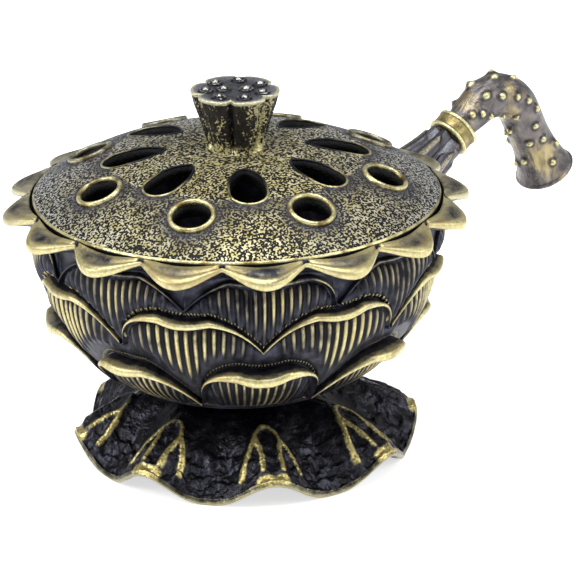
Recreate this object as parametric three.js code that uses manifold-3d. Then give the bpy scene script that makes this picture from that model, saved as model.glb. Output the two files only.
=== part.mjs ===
// A hand censer cast in brass: a lotus-petal bowl on a lotus-leaf foot, a pierced domed lid with a
// seed-pod knob, and a thorned lotus stem for a handle. Millimetres, +Z up. The bowl's axis is built at
// x = y = 0 with the handle towards +X and the floor at z = 0. At the end the whole is slid along X, so
// that the origin lies in the middle of the footprint.
import * as THREE from "three";
import { mergeVertices } from "three/addons/utils/BufferGeometryUtils.js";
import Module from "manifold-3d";

const wasm = await Module();
wasm.setup();

// Clearances
const lidGap = 0.3; // round the lid in the bowl's rim and round its skirt in the mouth
const seatGap = 0.3; // between castings that are fitted to each other
const boreGap = 0.2; // round a screw or stud in its hole
const overrun = 1; // how far a cutting tool runs past what it cuts
const weld = 0.0001; // points nearer than this are one point

// Lid: a shallow dome with a flat flange that lies on the bowl's ledge, and a skirt that centres it
const lidRadius = 40;
const lidRise = 10.4; // of the dome above the flange's edge
const lidWall = 2;
const lidEdge = 2.1; // thickness of the flange at its rim
const edgeBevel = 0.5;
const skirtDepth = 3.6;
const skirtWall = 1.6;
const roundHoleRadius = 3.8;
const roundHoleCircle = 30;
const holeLipWidth = 0.9; // of the raised ring round each round hole
const holeLipHeight = 0.8;
const tearLength = 12.4;
const tearWidth = 7.2;
const tearCircle = 20;
const holeCount = 8;
const holeTurn = -12.5; // degrees from the handle to a round hole

// Knob: a lotus seed pod, screwed on from under the lid
const knobSeatRadius = 6.7;
const knobSeatHeight = 0.5;
const knobHeight = 9.7;
const knobTopRadius = 8.7;
const knobWaistRadius = 5.9;
const knobFlare = 0.6; // how far the pod's foot spreads on its seat
const knobLobes = 6;
const knobLobeDepth = 0.9;
const knobTurn = 11.6; // degrees from the handle to the middle of a lobe
const knobRim = 1.4; // height of the pod's thick upper edge
const knobDish = 0.4; // how far its top is hollowed between the seeds
const seedRadius = 0.95;
const seedCircle = 5.7;
const innerSeedCircle = 2.1;
const outerSeeds = 7;
const seedTurn = -10.1; // degrees from the handle to an outer seed
const innerSeedTurn = -41.4;

// Screws and washers
const knobScrewRadius = 2;
const knobScrewHead = 3.5;
const knobScrewHeadHeight = 1.8;
const knobScrewLength = 8;
const footScrewRadius = 2;
const footScrewHead = 3.6;
const footScrewHeadHeight = 2;
const footScrewLength = 8.6;
const neckScrewRadius = 1.5;
const neckScrewHead = 2.5;
const neckScrewHeadHeight = 1.6;
const neckScrewGrip = 7.5; // how far the neck's screw reaches past the wall's outside
const screwTip = 0.8; // how far a screw's blunt end tapers
const washerWall = 0.8;
const washerMargin = 0.9; // how far a washer shows round its screw's head
const slotWidth = 0.8;
const slotDepth = 0.8;

// Bowl
const bowlHeight = 36.7; // from its seat on the foot to the ledge that carries the lid
const seatRadius = 15.5;
const ledgeWidth = 3; // how much of the lid's flange lies on the bowl
const rimUndercut = 0.7; // by which the wall's outside under the rim lies inside the ledge's edge
const floorWall = 5;
const floorSkin = 1.3; // of the floor above the foot screw's hole
const bowlWall = 3.2;
const spigotRadius = 8;
const spigotDepth = 1.2;
const petalCount = 8; // in each row
const petalLip = 2.2; // height of a petal's rolled edge in its middle
const petalLipEnd = 0.8; // the same where two petals meet
const petalReach = 3.1; // how far a petal's tip curls out from the wall
const petalNotchReach = 0.9; // the same where two petals meet
const petalCheek = 0.75; // swell of a petal's face
const petalRecess = 0.9; // depth of the groove behind the edge of the petal in front
const petalGap = 0.25; // by which the groove's foot lies lower than that edge
const tipDip = 1; // how far the middle of a petal's edge is curled down
const rimCrest = 2; // height above the ledge of the rim where two of its petals meet
const rimTroughDrop = 1.4; // how much lower its crest is in the middle of a petal
const rimCrestReach = 0.5; // of the crest outside the ledge, where two petals meet
const rimTroughReach = 1.2; // the same in the middle of a petal
const rimTipReach = 6.4; // of a rim petal's tip outside the wall
const rimNotchReach = 1.9; // outside the wall, where two rim petals meet
const rimTipDrop = 1.1; // of the middle of a tip's edge below the ledge
const rimNotchRise = 1.1; // above the ledge, of the same where two petals meet
const rimTipLip = 1.7; // thickness of the edge at the tips
const rimNotchLip = 0.9; // the same where two petals meet
const rimRootDrop = 1.5; // below the ledge, where the rim leaves the wall
const rimSwell = 0.7; // of the back of a rim petal

// Foot: a turned-over lotus leaf with a waved hem
const footHeight = 14.5;
const hemRadius = 32.3;
const hemFlare = 2.2; // further out at each raised wave
const hemLift = 4.7;
const hemDrift = 1.2; // how much further out the leaf spreads on one side
const hemDriftTurn = -41; // degrees from the handle to that side
const leafWall = 1.9;
const hemLand = 2.4; // width of the hem's underside
const footBossRadius = 6;
const footBossDepth = 5.6;
const collarHeight = 0.6;
const hemTurn = -7.7; // degrees from the handle to a point where the hem stands on the floor
const veinWidth = 1.8;
const veinHeight = 0.8;

// Handle: a neck of sepals on the bowl's wall, a ferrule, and a bent stem with thorns
const handleSlope = 31.2; // degrees, of the neck above the horizontal
const neckRiseShare = 0.688; // of the bowl's height, where the neck's axis meets the wall
const neckPadRadius = 4.4; // of the boss inside the bowl that the neck's screw bears on
const neckPadClear = 0.9; // of the neck's washer from the wall of the bowl's hollow
const neckRoot = 6.4; // how far the neck's blank runs back before it is fitted to the wall
const neckLength = 20.8; // from the wall's outside to the ferrule
const neckBaseRadius = 6.9;
const neckEndRadius = 3.9;
const neckRidge = 0.55;
const neckSepals = 6;
const ferruleWidth = 3.8;
const ferruleRadius = 4.4;
const ferruleBead = 0.2;
const ferruleBeadWidth = 0.7;
const pinRadius = 2.7; // of the neck's and the stem's ends inside the ferrule
const studRadius = 1.4;
const studLength = 9;
const stemStartRadius = 3.2;
const stemArchRadius = 4.5;
const stemLegRadius = 4.2;
const stemEndRadius = 5.8;
const stemEndRound = 1.4;
const stemLead = 5.4; // straight stretch before the bend
const bendRadius = 8.5;
const bendAngle = 94; // degrees
const stemLeg = 17.4;
const thornRadius = 0.9;
const thornHeight = 0.6;
const thornSpacing = 3.3;
const thornStart = 2.4; // from the stem's foot to the first thorn

// Steps round a full turn
const roundSteps = 48;
const petalSteps = 64;
const leafSteps = 64;
const knobSteps = 36;
const stemSteps = 14;
const smallSteps = 12;

const rad = Math.PI / 180;
const tau = Math.PI * 2;
const mix = (a, b, share) => a + (b - a) * share;
const mid = (a, b) => (a + b) / 2;

// Places that several pieces share
const ledgeZ = footHeight + bowlHeight;
const floorZ = footHeight + floorWall;
const mouthRadius = lidRadius - ledgeWidth;
const rimInnerRadius = lidRadius + lidGap;
const wallTopRadius = rimInnerRadius - rimUndercut;
const lidEdgeZ = ledgeZ + lidEdge;
const domeRadius = (lidRadius ** 2 + lidRise ** 2) / (2 * lidRise);
const domeCentreZ = lidEdgeZ + lidRise - domeRadius;
const domeZ = (radius, sphere = domeRadius) => domeCentreZ + Math.sqrt(sphere ** 2 - radius ** 2);
const knobSeatZ = lidEdgeZ + lidRise + knobSeatHeight;
const underLidZ = knobSeatZ - knobSeatHeight - lidWall - edgeBevel;
const footBossZ = footHeight - footBossDepth;

// Materials
const metal = (color, roughness, metalness) => new THREE.MeshStandardMaterial({ color, roughness, metalness });
const antique = () => metal(0x6b6247, 0.5, 0.85);
const darkened = () => metal(0x35333a, 0.6, 0.8);
const rubbed = () => metal(0xb39a58, 0.35, 0.95);
const steel = () => metal(0x9a9a96, 0.4, 0.9);

// A closed geometry as a solid
function solid(geometry) {
  const bare = geometry.index ? geometry.toNonIndexed() : geometry.clone();
  bare.deleteAttribute("normal");
  bare.deleteAttribute("uv");
  const merged = mergeVertices(bare, weld);
  const { array } = merged.index;
  const kept = [];
  for (let i = 0; i < array.length; i += 3) {
    const [a, b, c] = array.slice(i, i + 3);
    if (a !== b && b !== c && c !== a) kept.push(a, b, c);
  }
  return new wasm.Manifold(
    new wasm.Mesh({
      numProp: 3,
      vertProperties: new Float32Array(merged.attributes.position.array),
      triVerts: new Uint32Array(kept),
    }),
  );
}

// A solid as a named mesh
function mesh(name, body, material) {
  const { numProp, vertProperties, triVerts } = body.getMesh();
  const points = [];
  for (let i = 0; i < vertProperties.length; i += numProp) points.push(...vertProperties.slice(i, i + 3));
  const geometry = new THREE.BufferGeometry();
  geometry.setAttribute("position", new THREE.Float32BufferAttribute(points, 3));
  geometry.setIndex([...triVerts]);
  geometry.computeVertexNormals();
  const made = new THREE.Mesh(geometry, material);
  made.name = name;
  return made;
}

// A turned piece about Z, from a profile of [radius, height] that leaves the axis at the bottom and comes
// back to it at the top
function turned(profile, steps = roundSteps) {
  const points = profile.map(([radius, z]) => new THREE.Vector2(radius, z));
  return new THREE.LatheGeometry(points, steps).rotateX(Math.PI / 2);
}

const post = (radius, from, to, steps = smallSteps) =>
  turned([[0, from], [radius, from], [radius, to], [0, to]], steps);

// A skin through a row of rings with as many points each, closed by a fan at both ends
function loft(rings) {
  const n = rings[0].length;
  const points = rings.flat();
  const index = [];
  for (let i = 0; i + 1 < rings.length; i++) {
    for (let j = 0; j < n; j++) {
      const a = i * n + j;
      const b = i * n + ((j + 1) % n);
      index.push(a, b, b + n, a, b + n, a + n);
    }
  }
  const centre = (ring) => ring.reduce((sum, p) => sum.add(p), new THREE.Vector3()).divideScalar(n);
  const last = (rings.length - 1) * n;
  points.push(centre(rings[0]), centre(rings.at(-1)));
  for (let j = 0; j < n; j++) {
    const next = (j + 1) % n;
    index.push(points.length - 2, next, j);
    index.push(points.length - 1, last + j, last + next);
  }
  return new THREE.BufferGeometry().setFromPoints(points).setIndex(index);
}

const polar = (radius, angle, z) => new THREE.Vector3(radius * Math.cos(angle), radius * Math.sin(angle), z);

const upward = new THREE.Vector3(0, 0, 1);

// A ring of points round Z, from a function of the angle that gives [radius, height]
const ringOf = (steps, at) => Array.from({ length: steps }, (_, j) => {
  const angle = (tau * j) / steps;
  const [radius, z] = at(angle);
  return polar(radius, angle, z);
});

// Moves a geometry made about Z, so that its Z runs from the origin given along way, and its X points as
// near as can be to facing
function along(geometry, origin, way, facing) {
  const z = way.clone().normalize();
  const y = new THREE.Vector3().crossVectors(z, facing).normalize();
  const x = new THREE.Vector3().crossVectors(y, z);
  return geometry.applyMatrix4(new THREE.Matrix4().makeBasis(x, y, z).setPosition(origin));
}

// 0 in the middle of a petal, lobe or sepal, and 1 where it meets the next one
function across(angle, count, turn) {
  const share = ((((angle - turn * rad) * count) / tau) % 1 + 1) % 1;
  return 2 * Math.min(share, 1 - share);
}

// Bowl. Its rows of petals are staggered by half a petal, and the handle stands between two rim petals.
const rowTurn = 360 / petalCount / 4;
const restPower = 2.2;
const fullnessPower = 0.62;
const hookShare = 0.86; // of half a petal, where the ends of an upper petal hook down
const rootShare = 0.075; // of the bowl's height, where the lowest petals spring from its underside
const petalRows = [
  { turn: rowTurn, tipShare: 0.44, notchShare: 0.215, reachShare: 1, notchReachShare: 1, hooked: true },
  { turn: -rowTurn, tipShare: 0.765, notchShare: 0.54, reachShare: 0.55, notchReachShare: 0.6, hooked: false },
  { turn: rowTurn, tipShare: 0.993, notchShare: 0.79, reachShare: 0.1, notchReachShare: 0.5, hooked: false },
];

// The wall's outside under the petals
function wall(z) {
  const rest = 1 - Math.min(Math.max((z - footHeight) / bowlHeight, 0), 1);
  return mix(seatRadius, wallTopRadius, (1 - rest ** restPower) ** fullnessPower);
}

// The shape of a petal's edge from its middle (1) to its notches (0). In the lowest row every other
// petal lies on its neighbours, and its ends hook down.
function crown(row, angle, u) {
  if (!row.hooked) return 1 - u ** 2.6;
  const upper = Math.abs(Math.round(((angle - row.turn * rad) * petalCount) / tau)) % 2 === 1;
  if (!upper) return 1 - 1.3 * u ** 2.1;
  return Math.sqrt(Math.max(1 - (u / hookShare) ** 3, 0)) - 0.3 * Math.max(0, (u - hookShare) / (1 - hookShare));
}

function petalEdge(row, angle) {
  const u = across(angle, petalCount, row.turn);
  const curl = Math.cos((u * Math.PI) / 2) ** 3;
  const dip = tipDip * Math.max(0, Math.cos(u * Math.PI * 1.5)) * (u < 0.5 ? 1 : 0);
  const z = footHeight + bowlHeight * mix(row.notchShare, row.tipShare, crown(row, angle, u)) - dip;
  return {
    z: Math.min(z, rimEdge(angle).rootZ - petalGap),
    reach: mix(row.notchReachShare * petalNotchReach, row.reachShare * petalReach, curl),
    lip: mix(petalLipEnd, mix(petalLipEnd, petalLip, mid(1, row.reachShare)), curl),
    swell: petalCheek * (1 - u ** 4),
  };
}

function rimEdge(angle) {
  const u = across(angle, 2 * petalCount, rowTurn);
  const tip = Math.max(0, Math.cos((u * Math.PI) / 2)) ** 1.4;
  return {
    rootZ: ledgeZ - rimRootDrop + rimNotchRise * (1 - tip) * 0.5,
    outer: wallTopRadius + mix(rimNotchReach, rimTipReach, tip),
    noseZ: ledgeZ + mix(rimNotchRise, -rimTipDrop, tip),
    half: mix(rimNotchLip, rimTipLip, tip) / 2,
    crest: rimInnerRadius + mix(rimCrestReach, rimTroughReach, tip),
    crestZ: ledgeZ + rimCrest - rimTroughDrop * tip,
    swell: rimSwell * tip,
  };
}

// The bowl without its hollow, or a blank that is larger by the given amount all round
function bowlBlank(grow = 0) {
  const ring = (at) => ringOf(petalSteps, (angle) => {
    const [radius, z] = at(angle);
    return [radius + grow, z];
  });
  const rootZ = footHeight + rootShare * bowlHeight;
  const rings = [ring(() => [seatRadius, footHeight - grow]), ring(() => [wall(rootZ), rootZ - grow])];
  let below = () => rootZ;
  for (const row of petalRows) {
    const start = below;
    const edge = (angle) => petalEdge(row, angle);
    const out = (angle) => wall(edge(angle).z) + edge(angle).reach;
    const faceZ = (angle, share) => mix(start(angle), edge(angle).z - edge(angle).lip, share);
    rings.push(ring((a) => [wall(faceZ(a, 0.5)) + edge(a).swell, faceZ(a, 0.5)]));
    rings.push(ring((a) => [wall(faceZ(a, 1)) - petalGap, faceZ(a, 1) - grow]));
    rings.push(ring((a) => [out(a), edge(a).z - edge(a).lip * 0.75 - grow]));
    rings.push(ring((a) => [out(a), edge(a).z - edge(a).lip * 0.25 + grow]));
    rings.push(ring((a) => [wall(edge(a).z) - petalRecess / 2, edge(a).z - petalGap + grow]));
    below = (angle) => edge(angle).z;
  }
  rings.push(ring((a) => [wallTopRadius - petalRecess / 2, rimEdge(a).rootZ]));
  rings.push(ring((a) => [rimEdge(a).outer - petalGap, rimEdge(a).noseZ - rimEdge(a).half - grow]));
  rings.push(ring((a) => [rimEdge(a).outer, rimEdge(a).noseZ]));
  rings.push(ring((a) => [rimEdge(a).outer - petalGap, rimEdge(a).noseZ + rimEdge(a).half + grow]));
  rings.push(ring((a) => [mix(rimEdge(a).crest, rimEdge(a).outer, 0.45),
    mix(rimEdge(a).noseZ + rimEdge(a).half, rimEdge(a).crestZ, 0.55) + rimEdge(a).swell + grow]));
  rings.push(ring((a) => [rimEdge(a).crest, rimEdge(a).crestZ + grow]));
  rings.push(ring(() => [mid(rimInnerRadius, mouthRadius), ledgeZ + petalGap + grow]));
  return solid(loft(rings));
}

// The hollow's radius keeps the wall's thickness inside the outline of the wall, up to the mouth
function hollow(z) {
  const inset = bowlWall * Math.SQRT1_2;
  return Math.min(mouthRadius, wall(z - inset) - inset);
}

function bowlCavity() {
  const mouthZ = ledgeZ - skirtDepth - lidGap;
  const side = [0, 0.09, 0.22, 0.42, 0.68].map((share) => {
    const z = mix(floorZ, mouthZ, share);
    return [hollow(z), z];
  });
  const openZ = ledgeZ + rimCrest + overrun;
  return solid(turned([[0, floorZ], ...side, [mouthRadius, mouthZ], [mouthRadius, ledgeZ],
    [rimInnerRadius, ledgeZ], [rimInnerRadius, openZ], [0, openZ]]));
}

// The handle's axis, in the XZ plane: it leaves the wall's outside at neckStart
const neckZ = footHeight + neckRiseShare * bowlHeight;
const neckStart = new THREE.Vector3(wall(neckZ), 0, neckZ);
const handleWay = new THREE.Vector3(Math.cos(handleSlope * rad), 0, Math.sin(handleSlope * rad));
const sideways = new THREE.Vector3(0, 1, 0);
const onHandle = (distance) => neckStart.clone().addScaledVector(handleWay, distance);
const alongHandle = (geometry, distance) => solid(along(geometry, onHandle(distance), handleWay, sideways));

// The boss inside the bowl runs back until the washer's lower edge is clear of the hollow's wall
const neckWasherRadius = neckScrewHead + washerMargin;
const clearOfWall = (depth) => {
  const edge = onHandle(-depth - seatGap).add(
    new THREE.Vector3(Math.sin(handleSlope * rad), 0, -Math.cos(handleSlope * rad)).multiplyScalar(neckWasherRadius));
  return hollow(edge.z) - edge.x > neckPadClear;
};
let neckPadDepth = bowlWall;
while (!clearOfWall(neckPadDepth) && neckPadDepth < bowlHeight) neckPadDepth += seatGap;
const neckScrewLength = neckPadDepth + seatGap + washerWall + neckScrewGrip;

function bowl() {
  const blank = bowlBlank();
  const pad = alongHandle(post(neckPadRadius, -neckPadDepth, -ledgeWidth, 24), 0).intersect(blank);
  const neckBore = alongHandle(post(neckScrewRadius + boreGap, -neckPadDepth - overrun, neckRoot), 0);
  const spigot = solid(post(spigotRadius, footHeight - spigotDepth, floorZ - floorSkin, 32));
  const footBore = solid(post(footScrewRadius + boreGap, footHeight - spigotDepth - overrun, floorZ - floorSkin));
  return blank.subtract(bowlCavity()).add(pad).add(spigot).subtract(neckBore).subtract(footBore);
}

// Foot
const standShare = 0.12; // of each wave, cut flat for the foot to stand on
const hemWave = (angle) => (1 - Math.cos(petalCount * (angle - hemTurn * rad))) / 2;
const hemZ = (angle) => hemLift * Math.max(0, (hemWave(angle) - standShare) / (1 - standShare));
const hemSide = (angle) => hemDrift * Math.cos(angle - hemDriftTurn * rad);
const hemOut = (angle) => hemRadius + hemFlare * hemWave(angle) + hemSide(angle);

// The leaf's upper face, from the collar at share 0 to the hem at share 1
function leaf(angle, share) {
  const top = footHeight - collarHeight;
  return [mix(seatRadius, hemOut(angle), share),
    mix(top, hemZ(angle) + leafWall, share ** mix(1.05, 1.5, hemWave(angle)))];
}

// A raised vein on the leaf through points of [degrees, share of the way to the hem]
function vein(points) {
  const line = points.map(([degrees, share]) => {
    const [radius, z] = leaf(degrees * rad, share);
    return polar(radius, degrees * rad, z);
  });
  const rings = line.map((p, i) => {
    const way = line[Math.min(i + 1, line.length - 1)].clone().sub(line[Math.max(i - 1, 0)]).normalize();
    const side = new THREE.Vector3().crossVectors(way, upward).normalize();
    const up = new THREE.Vector3().crossVectors(side, way);
    const corner = (s, u) => p.clone().addScaledVector(side, s * veinWidth).addScaledVector(up, u);
    return [corner(-0.5, -leafWall / 2), corner(0, veinHeight), corner(0.5, -leafWall / 2)];
  });
  return solid(loft(rings));
}

// Each tree of veins forks twice on its way to the hem.
const veinForks = [
  [[-0.6, 0.36], [-6, 0.5], [-12, 0.88]],
  [[-7.5, 0.6], [-3.8, 0.72], [-3.2, 0.92]],
  [[0.6, 0.36], [6, 0.5], [12, 0.88]],
  [[7.5, 0.6], [3.8, 0.72], [3.2, 0.92]],
];

function foot() {
  const ring = (at) => ringOf(leafSteps, at);
  const innerZ = footHeight - collarHeight - leafWall;
  const under = (share) => (a) => {
    const [radius, z] = leaf(a, share);
    return [radius - hemLand * share, Math.max(z - leafWall, hemZ(a))];
  };
  const rings = [
    ring(() => [footBossRadius, footBossZ]),
    ring(() => [footBossRadius, innerZ]),
    ring(under(0.1)),
    ring(under(0.5)),
    ring((a) => [hemOut(a) - hemLand, hemZ(a)]),
    ring((a) => [hemOut(a) - leafWall * 0.2, hemZ(a)]),
    ring((a) => [hemOut(a), hemZ(a) + leafWall * 0.5]),
    ring((a) => [leaf(a, 0.99)[0], hemZ(a) + leafWall]),
    ring((a) => leaf(a, 0.85)),
    ring((a) => leaf(a, 0.6)),
    ring((a) => leaf(a, 0.3)),
    ring((a) => leaf(a, 0.03)),
    ring(() => [seatRadius, footHeight]),
  ];
  let body = solid(loft(rings));
  for (let i = 0; i < petalCount; i++) {
    const turn = hemTurn + (i + 0.5) * (360 / petalCount);
    for (const fork of veinForks) body = body.add(vein(fork.map(([degrees, share]) => [degrees + turn, share])));
  }
  const recess = solid(post(spigotRadius + seatGap, footHeight - spigotDepth - seatGap, footHeight + overrun, 32));
  const bore = solid(post(footScrewRadius + boreGap, footBossZ - overrun, footHeight + overrun));
  return body.subtract(recess).subtract(bore);
}

// Lid
function lidShell() {
  const skirtOuter = mouthRadius - lidGap;
  const skirtInner = skirtOuter - skirtWall;
  const skirtZ = ledgeZ - skirtDepth;
  const bossRadius = knobScrewHead + washerMargin + edgeBevel;
  const inner = [0.5, 1].map((share) => {
    const radius = mix(bossRadius, skirtInner, share);
    return [radius, domeZ(radius, domeRadius - lidWall)];
  });
  const outer = [0, 0.22, 0.47, 0.73, 1].map((share) => {
    const radius = mix(lidRadius - edgeBevel, knobSeatRadius, share);
    return [radius, domeZ(radius)];
  });
  return solid(turned([
    [0, underLidZ], [bossRadius, underLidZ], ...inner, [skirtInner, skirtZ], [skirtOuter, skirtZ],
    [skirtOuter, ledgeZ], [lidRadius, ledgeZ], [lidRadius, lidEdgeZ - edgeBevel], ...outer,
    [knobSeatRadius, knobSeatZ], [0, knobSeatZ],
  ]));
}

function tearShape() {
  const half = tearLength / 2;
  const cheek = tearWidth / 2;
  const tear = new THREE.Shape();
  tear.moveTo(-half, 0);
  tear.bezierCurveTo(-half * 0.85, -cheek * 0.5, -half * 0.45, -cheek, half - cheek, -cheek);
  tear.absarc(half - cheek, 0, cheek, -Math.PI / 2, Math.PI / 2, false);
  tear.bezierCurveTo(-half * 0.45, cheek, -half * 0.85, cheek * 0.5, -half, 0);
  return tear;
}

function lid() {
  const lipRadius = roundHoleRadius + holeLipWidth;
  const lipProfile = [[0, -lidWall / 2], [lipRadius, -lidWall / 2], [lipRadius, holeLipHeight * 0.5],
    [mid(lipRadius, roundHoleRadius), holeLipHeight], [0, holeLipHeight]];
  const depth = 4 * (lidWall + overrun);
  let body = lidShell();
  for (let i = 0; i < holeCount; i++) {
    // The lips stand square to the dome, and the holes go straight down, the way the mould is drawn
    const place = (geometry, circle, step, way) => {
      const angle = (holeTurn + step * (360 / holeCount)) * rad;
      const spot = polar(circle, angle, domeZ(circle));
      return solid(along(geometry, spot, way ?? spot.clone().setZ(spot.z - domeCentreZ), polar(1, angle, 0)));
    };
    const drop = new THREE.ExtrudeGeometry(tearShape(), { depth, bevelEnabled: false, curveSegments: 3 })
      .translate(0, 0, -depth / 2);
    body = body.add(place(turned(lipProfile, smallSteps), roundHoleCircle, i))
      .subtract(place(post(roundHoleRadius, -depth / 2, depth / 2), roundHoleCircle, i, upward))
      .subtract(place(drop, tearCircle, i + 0.5, upward));
  }
  return body.subtract(solid(post(knobScrewRadius + boreGap, underLidZ - overrun, knobSeatZ + overrun)));
}

// Knob
function knob() {
  const topZ = knobSeatZ + knobHeight;
  const stations = [
    // share of the height, radius, share of the lobes' depth
    [0, knobWaistRadius + knobFlare, 0],
    [0.07, knobWaistRadius + knobFlare * 0.3, 0.3],
    [0.16, knobWaistRadius, 0.7],
    [1 - knobRim / knobHeight, knobTopRadius - knobRim * 0.2, 1],
    [1 - (knobRim * 0.3) / knobHeight, knobTopRadius, 1],
    [1, knobTopRadius - knobRim * 0.3, 1],
    [1 - knobDish / knobHeight, knobTopRadius - knobRim * 0.8, 0.8],
  ];
  const rings = stations.map(([share, radius, depth]) => ringOf(knobSteps, (angle) => {
    const u = across(angle, knobLobes, knobTurn);
    return [radius - knobLobeDepth * depth * u ** 3, knobSeatZ + share * knobHeight];
  }));
  let body = solid(loft(rings));
  const seed = (degrees, circle) => {
    const spot = polar(circle, degrees * rad, topZ - knobDish);
    return solid(new THREE.SphereGeometry(seedRadius, 6, 4).rotateX(Math.PI / 2).translate(...spot));
  };
  for (let i = 0; i < outerSeeds; i++) body = body.add(seed(seedTurn + (i * 360) / outerSeeds, seedCircle));
  for (const half of [0, 180]) body = body.add(seed(innerSeedTurn + half, innerSeedCircle));
  const boreZ = underLidZ - washerWall + knobScrewLength + boreGap;
  return body.subtract(solid(post(knobScrewRadius + boreGap, knobSeatZ - overrun, boreZ)));
}

// A slotted screw along Z, with its head under z = 0 and its shank above
function screw(radius, head, headHeight, length) {
  const body = solid(turned([[0, -headHeight], [head * 0.8, -headHeight], [head, -headHeight * 0.6], [head, 0],
    [radius, 0], [radius, length - screwTip], [radius * 0.6, length], [0, length]], smallSteps));
  const slot = new THREE.BoxGeometry(2 * (head + overrun), slotWidth, 2 * slotDepth).translate(0, 0, -headHeight);
  return body.subtract(solid(slot));
}

function washer(radius, head) {
  const disc = solid(post(head + washerMargin, -washerWall, 0, 20));
  return disc.subtract(solid(post(radius + boreGap, -washerWall - overrun, overrun)));
}

// A screw or washer made on Z, moved onto the handle's axis
function ontoHandle(body, distance) {
  const spot = onHandle(distance);
  return body.rotate([0, 90 - handleSlope, 0]).translate([spot.x, spot.y, spot.z]);
}

// Handle
const ferruleStart = neckLength + seatGap;
const ferruleEnd = ferruleStart + ferruleWidth;
const studMiddle = mid(ferruleStart, ferruleEnd);
const pinLength = ferruleWidth / 2 - seatGap / 2;

function neck() {
  const stations = [
    // distance from the wall, radius, share of the ridges' height
    [-neckRoot, neckBaseRadius, 0.4],
    [0, neckBaseRadius, 1],
    [neckLength * 0.35, mix(neckBaseRadius, neckEndRadius, 0.25), 1],
    [neckLength * 0.7, mix(neckBaseRadius, neckEndRadius, 0.75), 1],
    [neckLength, neckEndRadius, 0.6],
  ];
  const rings = stations.map(([distance, radius, ridge]) => ringOf(24, (angle) => {
    const u = across(angle, neckSepals, 0);
    return [radius + ridge * neckRidge * (1 - 2 * u), distance];
  }));
  const pin = alongHandle(post(pinRadius, -overrun, seatGap + pinLength, 20), neckLength);
  const screwHole = alongHandle(post(neckScrewRadius + boreGap, -neckPadDepth,
    neckScrewLength - neckPadDepth + boreGap), 0);
  const studHole = alongHandle(post(studRadius + boreGap, -studLength / 2 - boreGap, ferruleWidth), studMiddle);
  const cut = alongHandle(loft(rings), 0).subtract(bowlBlank(seatGap)).subtract(bowlBlank());
  // The cut leaves offcuts in the recesses behind the petals' edges. The neck is the part that stands free.
  const blank = cut.decompose().reduce((a, b) => (a.volume() > b.volume() ? a : b));
  return blank.add(pin).subtract(screwHole).subtract(studHole);
}

function ferrule() {
  const bead = ferruleRadius + ferruleBead;
  const groove = ferruleBeadWidth * 1.3;
  const body = alongHandle(turned([[0, 0], [bead, 0], [bead, ferruleBeadWidth], [ferruleRadius, groove],
    [ferruleRadius, ferruleWidth - groove], [bead, ferruleWidth - ferruleBeadWidth], [bead, ferruleWidth],
    [0, ferruleWidth]], 24), ferruleStart);
  return body.subtract(alongHandle(post(pinRadius + seatGap, -overrun, ferruleWidth + overrun, 20), ferruleStart));
}

// The stem's centre line, by distance from its foot: straight, round the bend, and straight again
const bendLength = bendRadius * bendAngle * rad;
const stemLength = stemLead + bendLength + stemLeg;
const stemFoot = ferruleEnd + seatGap;

function stemAt(distance) {
  const bent = Math.min(Math.max(distance - stemLead, 0), bendLength);
  const wayAt = (slope) => new THREE.Vector3(Math.cos(slope), 0, Math.sin(slope));
  const outAt = (slope) => new THREE.Vector3(-Math.sin(slope), 0, Math.cos(slope));
  const start = handleSlope * rad;
  const slope = start - bent / bendRadius;
  const point = onHandle(stemFoot + Math.min(distance, stemLead))
    .addScaledVector(outAt(start), -bendRadius).addScaledVector(outAt(slope), bendRadius)
    .addScaledVector(wayAt(slope), Math.max(0, distance - stemLead - bendLength));
  return { point, way: wayAt(slope), out: outAt(slope) };
}

function stemRadius(distance) {
  const apex = stemLead + bendLength / 2;
  if (distance < apex) return mix(stemStartRadius, stemArchRadius, Math.sin((distance / apex) * (Math.PI / 2)));
  const share = (distance - apex) / (stemLength - apex);
  const flare = Math.max(0, (share - 0.5) / 0.5) ** 1.6;
  return mix(mix(stemArchRadius, stemLegRadius, Math.min(1, share * 2)), stemEndRadius, flare);
}

function stemRing(distance, radius) {
  const { point, way, out } = stemAt(distance);
  const side = new THREE.Vector3().crossVectors(way, out);
  return Array.from({ length: stemSteps }, (_, j) => {
    const angle = (tau * j) / stemSteps;
    return point.clone().addScaledVector(out, radius * Math.cos(angle)).addScaledVector(side, radius * Math.sin(angle));
  });
}

function thorn(distance, degrees) {
  const { point, way, out } = stemAt(distance);
  const normal = out.clone().multiplyScalar(Math.cos(degrees * rad)).addScaledVector(sideways, Math.sin(degrees * rad));
  const skin = point.addScaledVector(normal, stemRadius(distance));
  const cone = turned([[0, -thornHeight], [thornRadius * 1.4, -thornHeight], [0, thornHeight]], 5);
  return solid(along(cone, skin, normal, way));
}

function stem() {
  const steps = 18;
  const straight = stemLength - stemEndRound;
  const rings = Array.from({ length: steps + 1 }, (_, i) => {
    const distance = (i / steps) * straight;
    return stemRing(distance, stemRadius(distance));
  });
  rings.push(stemRing(stemLength - stemEndRound * 0.4, stemEndRadius));
  rings.push(stemRing(stemLength - stemEndRound * 0.1, stemEndRadius - stemEndRound * 0.4));
  rings.push(stemRing(stemLength, stemEndRadius - stemEndRound));
  let body = solid(loft(rings));
  // Rows of thorns: degrees from the outside of the bend, and the row's stagger in shares of the spacing
  for (const [degrees, stagger] of [[18, 0.3], [-18, 0.8], [75, 0], [-75, 0], [130, 0.45], [-130, 0.45]]) {
    const first = thornStart + stagger * thornSpacing;
    for (let d = first; d < straight - thornSpacing; d += thornSpacing) body = body.add(thorn(d, degrees));
  }
  const pin = alongHandle(post(pinRadius, -seatGap - pinLength, overrun, 20), stemFoot);
  const studHole = alongHandle(post(studRadius + boreGap, -ferruleWidth, studLength / 2 + boreGap), studMiddle);
  return body.add(pin).subtract(studHole);
}

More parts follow.
